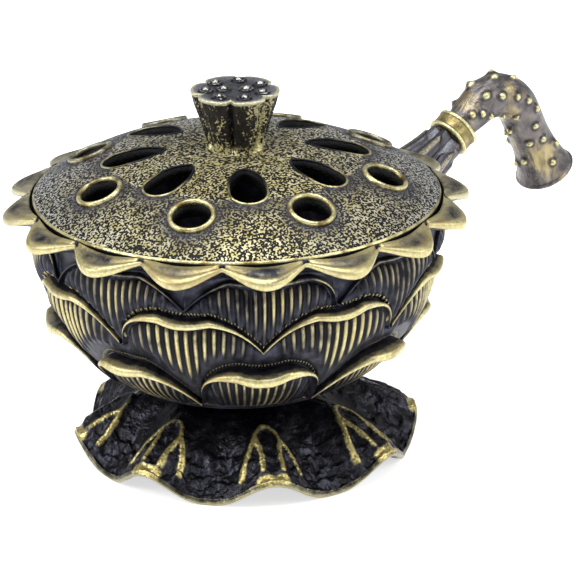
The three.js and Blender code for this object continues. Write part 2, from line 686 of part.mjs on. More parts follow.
const stud = () => alongHandle(post(studRadius, -studLength / 2, studLength / 2), studMiddle);

// Assembly
const neckPadFace = -neckPadDepth - seatGap;
const raised = (body, z) => body.translate([0, 0, z]);
const censer = new THREE.Group();
censer.add(
  mesh("bowl", bowl(), antique()),
  mesh("foot", foot(), darkened()),
  mesh("foot_washer", raised(washer(footScrewRadius, footScrewHead), footBossZ), steel()),
  mesh("foot_screw", raised(
    screw(footScrewRadius, footScrewHead, footScrewHeadHeight, footScrewLength), footBossZ - washerWall), steel()),
  mesh("lid", lid(), antique()),
  mesh("knob", knob(), antique()),
  mesh("knob_washer", raised(washer(knobScrewRadius, knobScrewHead), underLidZ), steel()),
  mesh("knob_screw", raised(
    screw(knobScrewRadius, knobScrewHead, knobScrewHeadHeight, knobScrewLength), underLidZ - washerWall), steel()),
  mesh("neck", neck(), darkened()),
  mesh("neck_washer", ontoHandle(washer(neckScrewRadius, neckScrewHead), neckPadFace), steel()),
  mesh("neck_screw", ontoHandle(
    screw(neckScrewRadius, neckScrewHead, neckScrewHeadHeight, neckScrewLength),
    neckPadFace - washerWall - seatGap), steel()),
  mesh("ferrule", ferrule(), rubbed()),
  mesh("joining_stud", stud(), steel()),
  mesh("stem", stem(), darkened()),
);
const box = new THREE.Box3().setFromObject(censer);
censer.position.x = -mid(box.min.x, box.max.x);
censer.position.y = -mid(box.min.y, box.max.y);
export default censer;
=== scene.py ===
# %% [markdown]
# # Dressing a hand censer
# This censer is a lotus in cast metal: a petalled bowl on a wavy leaf, under a pierced lid with a seed pod for its
# knob, and with a thorned stem for its handle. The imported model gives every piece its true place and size. This
# lesson dresses it: the castings get their ribs, rolled lips, stipple and crinkles, and the metal its old finish.

import math

import bpy
import numpy as np
from mathutils import Matrix, Vector, noise


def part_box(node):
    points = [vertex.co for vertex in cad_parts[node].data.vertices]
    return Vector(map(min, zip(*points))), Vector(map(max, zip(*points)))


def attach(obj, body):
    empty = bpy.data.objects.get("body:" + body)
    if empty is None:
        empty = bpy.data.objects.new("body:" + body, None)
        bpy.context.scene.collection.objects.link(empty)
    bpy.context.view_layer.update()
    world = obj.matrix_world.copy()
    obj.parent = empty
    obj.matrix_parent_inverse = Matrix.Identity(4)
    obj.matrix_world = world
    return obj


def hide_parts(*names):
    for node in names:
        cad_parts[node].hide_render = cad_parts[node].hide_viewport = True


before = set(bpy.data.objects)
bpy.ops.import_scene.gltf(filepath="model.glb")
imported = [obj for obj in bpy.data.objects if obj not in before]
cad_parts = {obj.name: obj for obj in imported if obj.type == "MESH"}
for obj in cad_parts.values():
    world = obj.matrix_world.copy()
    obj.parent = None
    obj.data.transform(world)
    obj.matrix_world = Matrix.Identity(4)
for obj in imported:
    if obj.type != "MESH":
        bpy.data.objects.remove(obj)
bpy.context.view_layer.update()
MM = 0.001
AXIS_X = (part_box("lid")[0][0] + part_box("lid")[1][0]) / 2 / MM  # the bowl's axis, on y = 0
print("bowl axis at x =", round(AXIS_X, 3), "mm")

# %% [markdown]
# ## The camera
# A photo is only worth comparing if the camera stands where the photographer stood. It could be moved by hand until
# the view looks right. Here it is placed by numbers instead, found by laying the ellipses of the lid, the rim and the
# foot over those in the photo, so that every later difference is a fault of the shape and not of the view.

# %% Camera
AZIMUTH, ELEVATION, ROLL = -41.4, 20.83, -0.75  # degrees: from the left, a little from above, hardly tilted
DISTANCE = 1.0
PHOTO_PX, FOCAL_PX, SENSOR = 576, 5080.78, 36   # the photo's width and the lens in its pixels, the sensor in mm
LOOK_AT = Vector(((7.33 + AXIS_X) * MM, -6.46 * MM, 33.0 * MM))


def stand_camera():
    a, e, t = (math.radians(v) for v in (AZIMUTH, ELEVATION, ROLL))
    back = Vector((math.sin(a) * math.cos(e), -math.cos(a) * math.cos(e), math.sin(e)))
    right = Vector((math.cos(a), math.sin(a), 0))
    up = back.cross(right)
    across = right * math.cos(t) + up * math.sin(t)
    above = up * math.cos(t) - right * math.sin(t)
    bpy.ops.object.camera_add(location=LOOK_AT + back * DISTANCE)
    camera = bpy.context.object
    camera.name = "photo_camera"
    camera.rotation_euler = Matrix((across, above, back)).transposed().to_euler()
    camera.data.lens = FOCAL_PX * SENSOR / PHOTO_PX
    camera.data.sensor_width = SENSOR
    camera.data.clip_end = 20
    bpy.context.scene.camera = camera
    return camera


camera = stand_camera()
print("camera at", [round(v, 3) for v in camera.location])

# %% [markdown]
# ## Helpers
# An operator works on all that is selected, and loading leaves the model's own pieces selected. So each step first
# picks the one piece that it is about. A finished piece has its place in its mesh, its seams are welded, and its
# faces point outwards.

# %% Pick, settle and close
WELD, NO_SIZE = 1e-6, 1e-9  # metres


def deselect():
    if bpy.context.object and bpy.context.object.mode != "OBJECT":
        bpy.ops.object.mode_set(mode="OBJECT")
    bpy.ops.object.select_all(action="DESELECT")


def pick(*pieces):
    """Leaves only these pieces selected, with the first of them active."""
    deselect()
    for piece in pieces:
        piece.select_set(True)
    bpy.context.view_layer.objects.active = pieces[0]


def settle(piece):
    """Puts a piece's place into its mesh, and leaves only it selected."""
    pick(piece)
    bpy.ops.object.transform_apply(location=True, rotation=True, scale=True)


def edit(piece):
    """Opens a piece in edit mode, with all of it selected."""
    pick(piece)
    bpy.ops.object.mode_set(mode="EDIT")
    bpy.ops.mesh.select_all(action="SELECT")


def closed(piece):
    """Welds what lies on one point and turns all faces outwards."""
    settle(piece)
    edit(piece)
    bpy.ops.mesh.remove_doubles(threshold=WELD)
    bpy.ops.mesh.dissolve_degenerate(threshold=NO_SIZE)
    bpy.ops.mesh.select_all(action="SELECT")
    bpy.ops.mesh.normals_make_consistent(inside=False)
    bpy.ops.object.mode_set(mode="OBJECT")
    bpy.ops.object.shade_smooth()
    return piece


print("pieces can be picked, settled and closed")

# %% Join, copy and place
def join(first, *others):
    """Makes several pieces one mesh, in the first of them."""
    pick(first, *others)
    bpy.ops.object.join()
    return first


def copy_of(piece):
    """A copy with a mesh of its own."""
    twin = piece.copy()
    twin.data = piece.data.copy()
    bpy.context.collection.objects.link(twin)
    return twin


def place(piece, matrix):
    """Moves a piece that was made at the origin to where it belongs, and settles it there."""
    piece.matrix_world = matrix
    bpy.context.view_layer.update()
    settle(piece)
    return piece


print("what repeats is modelled once and copied")

# %% [markdown]
# ## A grid wrapped round an axis
# The castings repeat round an axis. They could be turned with the spin tool and then carved, but each rib, lip and
# crease would be one more cut. So each starts as one flat grid that is wrapped round the axis like a sheet of wax
# round a core: across the grid runs the angle, and up the grid runs the profile. A formula gives each point's radius
# and height. It also knows where the metal gets rubbed, and leaves that on the points as attributes for the finish.

# %% Sums for a profile
def ease(t):
    """0 up to t = 0, 1 from t = 1 on, and a soft start and end between them."""
    t = np.clip(t, 0, 1)
    return t * t * (3 - 2 * t)


def mix(a, b, share):
    return a + (b - a) * share


def petal(angle, count, turn):
    """Where an angle (degrees) lies on a petal: -1 and 1 at its notches, 0 in its middle."""
    share = ((angle - turn) * count / 360 + 0.5) % 1 - 0.5
    return 2 * share


def around(radius, angle, z):
    """Points (mm) at an angle (degrees) round the bowl's axis."""
    a = np.radians(angle)
    return np.stack([AXIS_X + radius * np.cos(a), radius * np.sin(a), z + 0 * radius], -1)


def round_angles(columns):
    return np.arange(columns) * 360 / columns


print("a quarter of the way in, ease gives", float(ease(0.25)))

# %% Wrap a sheet
def wrapped(name, points, shown):
    """A sheet of rows x columns points (mm), closed round its axis; its first and last row are one point each.
    shown holds a number per point for each attribute that a finish reads."""
    rows, columns = points.shape[:2]
    deselect()
    bpy.ops.mesh.primitive_grid_add(x_subdivisions=columns, y_subdivisions=rows - 1, size=1)
    piece = bpy.context.object
    piece.name = name
    flat = np.empty((rows * (columns + 1), 3), np.float32)
    piece.data.vertices.foreach_get("co", flat.ravel())
    column = np.rint((flat[:, 0] + 0.5) * columns).astype(int) % columns
    row = np.rint((flat[:, 1] + 0.5) * (rows - 1)).astype(int)
    piece.data.vertices.foreach_set("co", (points[row, column] * MM).astype(np.float32).ravel())
    for key, values in shown.items():
        layer = piece.data.attributes.new(key, "FLOAT", "POINT")
        layer.data.foreach_set("value", values[row, column].astype(np.float32))
    closed(piece)
    print(name, len(piece.data.polygons), "faces")
    return piece


class Sheet:
    """Rings of points round the bowl's axis, with the numbers that a finish reads at each point."""

    def __init__(self, angle, **usual):
        self.angle, self.usual = angle, usual
        self.rings, self.shown = [], {key: [] for key in usual}

    def ring(self, radius, z, turn=0, **values):
        """Adds a ring; each value is one number, or one for each angle, and so is each attribute."""
        level = 0 * self.angle
        self.rings.append(around(radius + level, self.angle + turn, z + level))
        for key, usual in self.usual.items():
            self.shown[key].append(values.get(key, usual) + level)

    def wrap(self, name):
        return wrapped(name, np.array(self.rings), {key: np.array(rows) for key, rows in self.shown.items()})


print("a sheet goes round in as many columns as it has angles")

# %% [markdown]
# ## The bowl
# The real bowl is one casting: three rows of ribbed petals, each under a rolled lip, and over them a rim of sixteen
# drooping petals. It could be built petal by petal and joined, but cast petals grow out of the wall and out of each
# other, and joints between them would show. One sheet has no joints: it climbs from the seat over every row, goes
# out and back at each lip, turns over the rim and runs down inside to the floor.

# %% Sizes of the bowl
FOOT_H, BOWL_H, SEAT_R = 14.5, 36.7, 15.5     # the foot's height, the bowl's above it, and the seat between them
SPIGOT_R, SPIGOT_H = 8, 1.2                   # the stub under the bowl, which sits in the foot
LEDGE_Z, FLOOR_Z = FOOT_H + BOWL_H, 19.5      # where the lid rests, and the bowl's floor
MOUTH_R, RIM_IN_R, MOUTH_H = 37.0, 40.3, 3.9  # inside the ledge, inside the rim, and how far down the mouth is straight
WALL_TOP_R, BOWL_WALL = RIM_IN_R - 0.7, 3.2
STEPS, PETALS, RIM_PETALS, RIM_TURN = 896, 8, 16, 11.25
theta = round_angles(STEPS)


def wall(z):
    """The radius of the plain bowl under its petals, at a height."""
    rest = 1 - np.clip((z - FOOT_H) / BOWL_H, 0, 1)
    return mix(SEAT_R, WALL_TOP_R, (1 - rest ** 2.2) ** 0.62)


print("the bowl's radius at half its height is", round(float(wall(FOOT_H + BOWL_H / 2)), 1), "mm")

# %% [markdown]
# The rows differ only in numbers, so one function serves all three. For each row:
# - turn is where the petals stand, in degrees; tip and notch are the height of the lip in the middle of a petal and
#   between two petals, as shares of the bowl's height; flank says how its edge falls from one to the other.
# - reach and nick are how far the lip stands out at the tip and at the notch.
# - hooks names the petals, of each four, whose flank curls: at the side -1 or 1, or at both for 0. sink is how far a
#   curled flank drops at its end, and lean how far (in degrees) all flanks draw in low on the petal.
# - ribs is half their number on a petal, and floor is how high up its face they start. rub is how brightly they are
#   rubbed, and fade the share of that at their lower ends. shine is how bright the lip is, and how bright along a
#   curled flank. rings is how many rings of points the face gets.

# %% The petal rows
ROWS = [
    dict(turn=11.25, tip=0.44, notch=0.215, flank=(1.3, 2.1), reach=1.0, nick=1.0, hooks={1: 0, 3: 0}, sink=0.3,
         lean=2.6, ribs=8, floor=0.02, rub=0.9, fade=0.9, shine=(1.0, 1.0), rings=13),
    dict(turn=-11.25, tip=0.765, notch=0.54, flank=(1.0, 2.4), reach=0.55, nick=0.6, hooks={1: -1, 2: 1}, sink=0.08,
         lean=0.0, ribs=8, floor=0.34, rub=1.1, fade=0.3, shine=(1.0, 1.0), rings=15),
    dict(turn=11.25, tip=0.993, notch=0.79, flank=(1.0, 2.4), reach=0.1, nick=0.5, hooks={1: 1, 3: 1}, sink=0.08,
         lean=0.0, ribs=9, floor=0.0, rub=0.9, fade=0.4, shine=(0.62, 0.9), rings=12),
]
LIP_REACH, NICK_REACH = 3.1, 0.9                 # mm that a full lip stands out at its tip and at its notches
LIP_THIN, LIP_THICK, NICK_THICK = 1.3, 3.2, 0.95
HOOK_THICK = 0.45                                # what a curled flank is thicker


def petal_row(row):
    """By angle: place across the petal, top edge, how far the lip stands out, its thickness, where it hooks."""
    u = petal(theta, PETALS, row["turn"])
    au = np.abs(u)
    number = np.rint((theta - row["turn"]) / (360 / PETALS)).astype(int) % 4
    hooked = np.zeros(STEPS, bool)
    for which, side in row["hooks"].items():
        hooked |= (number == which) & ((side == 0) | (np.sign(u) == side))
    hook = np.sqrt(np.clip(1 - (au / 0.88) ** 3.4, 0, 1)) - row["sink"] * ease((au - 0.86) / 0.14)
    fall, power = row["flank"]
    crown = np.where(hooked, hook, 1 - fall * au ** power)
    dip = np.maximum(0, np.cos(au * np.pi * 1.5)) * (au < 0.5)
    edge = FOOT_H + BOWL_H * mix(row["notch"], row["tip"], crown) - dip
    curl = np.cos(au * np.pi / 2) ** 2.2
    reach = mix(NICK_REACH * row["nick"], LIP_REACH * row["reach"], curl)
    thick = mix(NICK_THICK, mix(LIP_THIN, LIP_THICK, row["reach"]), curl)
    thick = thick + HOOK_THICK * hooked * np.sin(np.pi * np.clip(au / 0.9, 0, 1))
    return u, edge, reach, thick, hooked


print("ribs round the bowl:", [2 * PETALS * row["ribs"] for row in ROWS])

# %% Ribs and rolled lips
RIB_H, SWELL, LOW_HOLLOW, LIP_HOLLOW = 0.55, 0.95, 0.75, 0.5


def ribbed_face(sheet, row, u, below, top):
    """The face of a row's petals, which swells, with ribs that fan out, from the row below up to its own lip."""
    au = np.abs(u)
    for share in np.linspace(0, 1, row["rings"]):
        v = share - 0.35 * np.sin(2 * np.pi * share) / (2 * np.pi)  # the rings lie closer at both ends
        z = mix(below, top, v)
        spread = u / mix(0.93, 1.0, v ** 0.8)
        wave = 0.5 + 0.5 * np.cos(2 * np.pi * spread * row["ribs"])
        inside = ease((0.93 - np.abs(spread)) / 0.14) * ease((v - row["floor"]) / 0.09) * ease((1.02 - v) / 0.1)
        hollow = LOW_HOLLOW * np.exp(-((z - below) / 0.65)) + LIP_HOLLOW * np.exp(-((top - z) / 0.8))
        swell = SWELL * np.sin(np.pi * v) * (1 - au ** 4)
        radius = wall(z) + swell - hollow + RIB_H * wave ** mix(1.1, 1.9, v) * inside
        bright = row["rub"] * (1 - 0.75 * au ** 2) * mix(row["fade"], 1.0, ease((v - 0.12) / 0.55))
        sheet.ring(radius, z, -np.sign(u) * row["lean"] * (1 - v) * np.sin(np.pi * au ** 4),
                   rib=spread * row["ribs"], field=inside * bright, rise=np.minimum(z - below, 9))


def rolled_lip(sheet, row, u, edge, reach, thick, hooked):
    """A row's lip: out under its edge, round its nose, and back to the wall on top."""
    au, top = np.abs(u), edge - thick
    out, base, back = wall(edge) + reach, wall(top) - 0.45, wall(edge) - 0.35
    low, high = top + 0.1 * thick, edge - 0.3 * thick
    bead = np.minimum(0.42 * thick, 0.75)
    turn = np.sign(u) * 0.9 * np.sin(np.pi * au ** 4) * hooked
    bright = mix(0.72, 1.0, np.cos(au * np.pi / 2) ** 1.2) * (1 - ease((au - 0.84) / 0.08) * hooked)
    bright = bright * mix(*row["shine"], ease((au - 0.5) / 0.3) * hooked)
    for s in (0.45, 0.9):
        sheet.ring(mix(base, out - bead * 0.6, s), top + 0.1 * thick * s, turn * s, lip=(0.1 + 0.35 * s) * bright)
    for s in (0.1, 0.3, 0.5, 0.7, 0.9):
        bend = s * math.pi
        sheet.ring(out - 0.5 * bead + bead * math.sin(bend), mix(low, high, 0.5 - 0.5 * math.cos(bend)), turn,
                   lip=(0.6 + 0.4 * math.sin(bend)) * bright)
    for s in (0.25, 0.55, 0.8, 1.0):
        sheet.ring(mix(out - 0.5 * bead, back, s), mix(high, edge - 0.25, s ** 0.8), turn * (1 - s),
                   lip=(0.85 - 0.85 * s ** 1.1) * bright)


print("a rib is", RIB_H, "mm high")

# %% The rim's petals and the inside
def rim_petals():
    """By angle: place across the petal, how near its tip is (0 to 1), and where it springs from the wall."""
    u = np.abs(petal(theta, RIM_PETALS, RIM_TURN))
    tip = np.maximum(0, np.cos(u * np.pi / 2)) ** 1.4
    return u, tip, LEDGE_Z - 1.5 + 0.55 * (1 - tip)


def rim(sheet, below):
    """The rim's petals swell over their backs, droop at their tips and fold in where they meet."""
    u, tip, springs = rim_petals()
    springs = np.maximum(springs, below + 0.1)
    fold = ease((u - 0.86) / 0.14)
    nose_r = WALL_TOP_R + mix(1.9, 6.4, tip) - 0.3 * fold
    nose_z = LEDGE_Z + mix(1.1, -0.8, tip)
    half = mix(0.9, 1.7, tip) / 2
    crest_r, crest_z = RIM_IN_R + mix(0.15, 0.35, tip), LEDGE_Z + 2 - 0.6 * tip
    for s in (0.0, 0.3, 0.6, 0.85):  # out under the petal
        sheet.ring(mix(WALL_TOP_R - 0.45, nose_r - 0.45, s), mix(springs, nose_z - half, s ** 1.6), lip=0.3 * s ** 2)
    for s in (0.1, 0.3, 0.5, 0.7, 0.9):  # round its edge
        bend = s * math.pi
        sheet.ring(nose_r - 0.4 + 0.4 * math.sin(bend), nose_z - half * math.cos(bend),
                   lip=0.6 + 0.4 * math.sin(bend), smooth=0.6 * s)
    for s in (0.06, 0.16, 0.28, 0.4, 0.52, 0.64, 0.76, 0.88, 1.0):  # over its back to the crest
        bulge = 0.75 * tip * math.sin(math.pi * s ** 0.8) - 0.5 * tip * math.exp(-((s - 0.32) / 0.14) ** 2)
        sag = (0.8 * fold + 0.2 * (1 - tip)) * math.sin(math.pi * s)
        # painted shade: bright dims the hollow in the middle of each tip's back and the slope up to its crest, on top
        # of the rubbing
        bright = 0.95 - 0.4 * tip * np.sin(np.pi * s ** 0.8) - 0.3 * tip * s ** 4
        sheet.ring(mix(nose_r - 0.4, crest_r, s), mix(nose_z + half, crest_z, s) + bulge - sag,
                   lip=bright * (1 - 0.65 * fold) * mix(0.82, 1, tip ** 0.5), smooth=0.7 + 0.3 * s)
    for s in (0.3, 0.65, 1.0):  # down to the ledge
        sheet.ring(mix(crest_r, RIM_IN_R, s ** 0.7), mix(crest_z, LEDGE_Z + 0.15, s ** 1.2), lip=0.4 * (s < 0.5))


def bowl_inside(sheet):
    """The ledge, the straight mouth under it, and the plain inside down to the floor."""
    mouth_z, inset = LEDGE_Z - MOUTH_H, BOWL_WALL * math.sqrt(0.5)
    sheet.ring(RIM_IN_R, LEDGE_Z)
    sheet.ring(MOUTH_R, LEDGE_Z, lip=0.3)
    sheet.ring(MOUTH_R, mouth_z)
    for share in (0.8, 0.6, 0.42, 0.3, 0.2, 0.12, 0.05, 0):
        z = mix(FLOOR_Z, mouth_z, share)
        sheet.ring(np.minimum(MOUTH_R, wall(z - inset) - inset), z)
    sheet.ring(0, FLOOR_Z)


print("the rim has", RIM_PETALS, "petals")

# %% Bowl
def bowl_sheet():
    """The whole bowl, from its spigot up its outside, over the rim and down inside it."""
    sheet = Sheet(theta, lip=0, rib=0, field=0, rise=9, smooth=0)
    for radius, z in ((0, FOOT_H - SPIGOT_H), (SPIGOT_R, FOOT_H - SPIGOT_H), (SPIGOT_R, FOOT_H), (SEAT_R, FOOT_H)):
        sheet.ring(radius, z)
    below = FOOT_H + 0.075 * BOWL_H + 0 * theta
    sheet.ring(wall(below) - 0.6, below - 0.6)
    springs = rim_petals()[2]
    for row in ROWS:
        u, edge, reach, thick, hooked = petal_row(row)
        edge = np.minimum(edge, springs - 0.25)
        ribbed_face(sheet, row, u, below, edge - thick)
        rolled_lip(sheet, row, u, edge, reach, thick, hooked)
        below = edge - 0.25
    rim(sheet, below)
    bowl_inside(sheet)
    return sheet


bowl = bowl_sheet().wrap("lotus_bowl")

# %% [markdown]
# ## Finishes written as sums
# A finish can be wired by hand in the shader editor, but one with thirty nodes is hard to read there. Here a socket
# is a value that can be added and multiplied, so a finish reads like what a polisher does: where it is high, rub it.

# %% Shader arithmetic
class Wire:
    """A socket that can be used in sums."""

    def __init__(self, maker, socket):
        self.maker, self.socket = maker, socket

    def math(self, operation, *others, clamp=False):
        return self.maker.add("ShaderNodeMath", {"operation": operation, "use_clamp": clamp},
                              dict(enumerate((self, *others))))

    def __add__(self, other): return self.math("ADD", other)
    def __radd__(self, other): return self.math("ADD", other)
    def __sub__(self, other): return self.math("SUBTRACT", other)
    def __rsub__(self, other): return self.maker.add("ShaderNodeMath", {"operation": "SUBTRACT"}, {0: other, 1: self})
    def __mul__(self, other): return self.math("MULTIPLY", other)
    def __rmul__(self, other): return self.math("MULTIPLY", other)
    def __pow__(self, other): return self.math("POWER", other)
    def clamp(self): return self.math("ADD", 0, clamp=True)

    def step(self, low, high):
        """0 below low, 1 above high, and a soft change between them."""
        return self.maker.add("ShaderNodeMapRange", {"interpolation_type": "SMOOTHSTEP"},
                              {"Value": self, "From Min": low, "From Max": high, "To Min": 0, "To Max": 1})


class Finish:
    """One material, and the one way in which nodes are added to it."""

    def __init__(self, name):
        self.material = bpy.data.materials.new(name)
        self.material.use_nodes = True
        self.tree = self.material.node_tree
        self.shader = self.tree.nodes["Principled BSDF"]

    def feed(self, target, value):
        if isinstance(value, Wire):
            self.tree.links.new(value.socket, target)
        else:
            target.default_value = value

    def add(self, kind, settings=None, inputs=None, output=0):
        node = self.tree.nodes.new(kind)
        for key, value in (settings or {}).items():
            setattr(node, key, value)
        for key, value in (inputs or {}).items():
            self.feed(node.inputs[key], value)
        return Wire(self, node.outputs[output])

    def wear(self, **sockets):
        """Gives the shader its values, and returns the material."""
        for key, value in sockets.items():
            self.feed(self.shader.inputs[key.replace("_", " ").title()], value)
        return self.material

    def place(self):
        return self.add("ShaderNodeTexCoord", output="Object")

    def along(self, axis):
        """How far a point is along X, Y or Z, in mm."""
        return self.add("ShaderNodeSeparateXYZ", None, {"Vector": self.place()}, output=axis) * (1 / MM)

    def from_axis(self):
        """How far a point is from the bowl's axis, in mm."""
        x, y = self.along("X") - AXIS_X, self.along("Y")
        return (x * x + y * y) ** 0.5

    def painted_back_grey(self, grain):
        """Painted light: 0 in front, where a golden cast is painted, and 1 at the back, where a greyer one is; grain
        breaks its edge.
        """
        depth = self.along("Y") * 0.017 + (self.along("X") - AXIS_X) * 0.013
        return (depth + (grain - 0.5) * 0.8 + 0.55).step(0.1, 0.9)

    def attribute(self, name):
        return self.add("ShaderNodeAttribute", {"attribute_name": name}, output="Fac")

    def noise(self, per_mm, detail=2.0, stretch=(1, 1, 1), distortion=0.0):
        place = self.place()
        if stretch != (1, 1, 1):
            place = self.add("ShaderNodeMapping", None, {"Vector": place, "Scale": stretch})
        return self.add("ShaderNodeTexNoise", None, {"Vector": place, "Scale": per_mm / MM, "Detail": detail,
                                                     "Roughness": 0.5, "Distortion": distortion})

    def blend(self, share, first, second):
        """One colour turning into another; a colour Mix node has its factor, A and B at 0, 6 and 7."""
        return self.add("ShaderNodeMix", {"data_type": "RGBA"}, {0: share, 6: first, 7: second}, output=2)

    def bump(self, height, distance):
        return self.add("ShaderNodeBump", None, {"Height": height, "Distance": distance * MM, "Strength": 1.0})


print("a finish can now be written as sums")

# %% Colours
def rgb(r, g, b):
    """A colour as seen on a screen (0 to 255), in the shader's own linear values."""
    lin = [v / 255 / 12.92 if v <= 10 else ((v / 255 + 0.055) / 1.055) ** 2.4 for v in (r, g, b)]
    return (*lin, 1)


DARK = rgb(27, 28, 36)
GOLD = rgb(186, 175, 112)
PALE = rgb(212, 207, 168)
STONE = rgb(160, 156, 142)
BROWN = rgb(118, 102, 60)
print("gold in the shader's values:", [round(v, 2) for v in GOLD[:3]])

# %% [markdown]
# ## The bowl's antique finish
# The real bowl was blackened all over and then rubbed, so that brass shows on lips, ribs and bead lines, and the dark
# stays in the grooves. It could be painted on a picture, but a picture has one scale and one unwrapping. The sheet
# already carries where its lips (lip), its ribs (rib, field) and each row's start (rise) are, so noise breaks those
# up instead. Over that lie painted light and shade: greyer metal at the back, and browner, dimmer metal in the hollows
# of the rim's tips.

# %% Antique finish of the bowl
def lotus_finish():
    f = Finish("antiqued_lotus")
    lip, rib, field = f.attribute("lip"), f.attribute("rib"), f.attribute("field")
    rise, smooth = f.attribute("rise"), f.attribute("smooth")
    grain, fine, broad = f.noise(0.5, 3), f.noise(2.2, 3), f.noise(0.09, 2)
    # where it is rubbed: ribs, lips, and a line of beads along the start of each row
    wave = (rib * math.tau).math("COSINE") * 0.5 + 0.5
    ridge = (wave ** 1.2) * field
    rubbed_rib = ridge.step(0.28, 0.85) * ((grain - 0.5) * 1.4 + (broad - 0.5) * 2.4 + 0.8).clamp() * field
    bead = ((rib * (math.tau * 2.6)).math("COSINE") * 0.5 + 0.5).step(0.35, 0.8)
    bead = bead * (1 - (rise - 0.85).math("ABSOLUTE").step(0.22, 0.48))
    # the lips' values hold their rubbing and, on the rim's tips, painted shade
    lip_wear_and_shade = (lip + (grain - 0.5) * 0.4 + (fine - 0.5) * 0.15 + (broad - 0.5) * 0.4).step(0.4, 0.85)
    rub = rubbed_rib.math("MAXIMUM", lip_wear_and_shade).math("MAXIMUM", bead)
    # the brass: stony and brown in places, browner in the hollow of the rim's tips (painted shade),
    # and greyer at the back (painted light)
    gold = f.blend((fine * 0.6 + grain * 0.4).step(0.36, 0.64), GOLD, PALE)
    gold = f.blend(smooth * (0.12 + (broad - 0.5) * 1.5).clamp(), gold, STONE)
    gold = f.blend((grain * 0.6 + broad * 0.4).step(0.46, 0.62) * 0.6, gold, rgb(146, 120, 66))
    # painted shade: brown in the hollow on the back of each rim tip
    hollow = smooth.step(0.68, 0.78) * (1 - smooth.step(0.8, 0.9)) * grain.step(0.3, 0.6)
    gold = f.blend(hollow * 0.75, gold, rgb(104, 82, 44))
    gold = f.blend(smooth * 0.5, gold, rgb(158, 146, 98))
    # painted light: a greyer cast at the back
    gold = f.blend(f.painted_back_grey(grain) * 0.6, gold, rgb(158, 158, 148))
    # the dark ground, black between the ribs, and a dull step on the way to the brass
    dark = f.blend(grain.step(0.35, 0.75), rgb(30, 31, 39), rgb(60, 61, 74))
    dark = f.blend((field * (1 - wave)).clamp(), dark, rgb(8, 8, 10))
    dull = f.blend(rub.step(0.05, 0.5), dark, rgb(112, 106, 88))
    colour = f.blend(rub.step(0.4, 1.0), dull, gold)
    return f.wear(base_color=colour, metallic=0.78, roughness=0.44 + (fine - 0.5) * 0.15,
                  normal=f.bump(ridge * 0.8 + bead * 0.6 + fine * 0.15 + grain * 0.2, 0.35))


bowl.data.materials.append(lotus_finish())
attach(bowl, "base")
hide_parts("bowl")
print("bowl finished with", len(bowl.data.materials[0].node_tree.nodes), "nodes")

# %% [markdown]
# ## The lid
# The real lid is a thin dome, cast with its holes: eight round ones with raised lips, and eight teardrops between
# them. The holes could be cut out of a dome with booleans, but those leave long thin faces round each hole, which
# shade badly on a curve. So the holes are drawn in a flat plate, which is filled between its outlines and cut into
# small squares by planes. Only then is it lifted onto the dome, where every face is small enough to follow it.

# %% Sizes and curve of the lid
LID_R, LID_RISE, LID_WALL = 40.0, 10.4, 2.0
EDGE_Z = LEDGE_Z + 2.1
DOME_R = (LID_R ** 2 + LID_RISE ** 2) / (2 * LID_RISE)
HOLES, HOLE_TURN = 8, -12.5                             # of each kind, and where the first round one stands
ROUND_AT, ROUND_R, TEAR_AT = 30.0, 3.8, 20.0
TEAR_HALF, TEAR_CHEEK = 6.2, 3.6                        # half a teardrop's length and half its width
SKIRT_R, SKIRT_OUT_R, SKIRT_H, PLATE_EDGE = 35.1, 36.7, 3.6, 0.35


def dome(radius, sphere=DOME_R):
    """How high the lid's sphere is at a radius; a smaller sphere round the same centre gives its inside."""
    return EDGE_Z + LID_RISE - DOME_R + np.sqrt(np.maximum(sphere ** 2 - radius ** 2, 0))


def dome_top(radius):
    """The dome's outside: a little full over the round holes and flattened towards the knob."""
    full = 0.75 * np.sin(np.pi * np.clip(radius / LID_R, 0, 1) ** 1.9)
    return dome(radius) + full - 1.2 * np.exp(-(radius / 9.5) ** 2)


print("the dome is part of a sphere of", round(DOME_R, 1), "mm")

# %% Outlines of the holes
def bezier(p0, p1, p2, p3, steps):
    t = np.linspace(0, 1, steps, endpoint=False)[:, None]
    return (1 - t) ** 3 * p0 + 3 * (1 - t) ** 2 * t * p1 + 3 * (1 - t) * t ** 2 * p2 + t ** 3 * p3


def tear_outline(steps=14):
    """A teardrop with its point towards the axis, as x (outwards) and y."""
    half, cheek = TEAR_HALF, TEAR_CHEEK
    side = [np.array(p, float) for p in ((-half, 0), (-half * 0.85, -cheek * 0.5), (-half * 0.45, -cheek),
                                         (half - cheek, -cheek))]
    turn = np.linspace(-np.pi / 2, np.pi / 2, steps + 4, endpoint=False)
    end = np.stack([half - cheek + cheek * np.cos(turn), cheek * np.sin(turn)], 1)
    return np.concatenate([bezier(*side, steps), end, bezier(*[p * (1, -1) for p in reversed(side)], steps)])


def hole_outlines():
    """The outlines of the round and teardrop holes, in plan, about the lid's axis."""
    turn = np.linspace(0, 2 * np.pi, 44, endpoint=False)
    circle = np.stack([ROUND_R * np.cos(turn), ROUND_R * np.sin(turn)], 1)
    outlines = []
    for i in range(HOLES):
        for shape, distance, half_way in ((circle, ROUND_AT, 0), (tear_outline(), TEAR_AT, 0.5)):
            a = math.radians(HOLE_TURN + 360 / HOLES * (i + half_way))
            spin = np.array([[math.cos(a), math.sin(a)], [-math.sin(a), math.cos(a)]])
            outlines.append((shape + (distance, 0)) @ spin)
    return outlines


outlines = hole_outlines()
print("holes:", len(outlines))

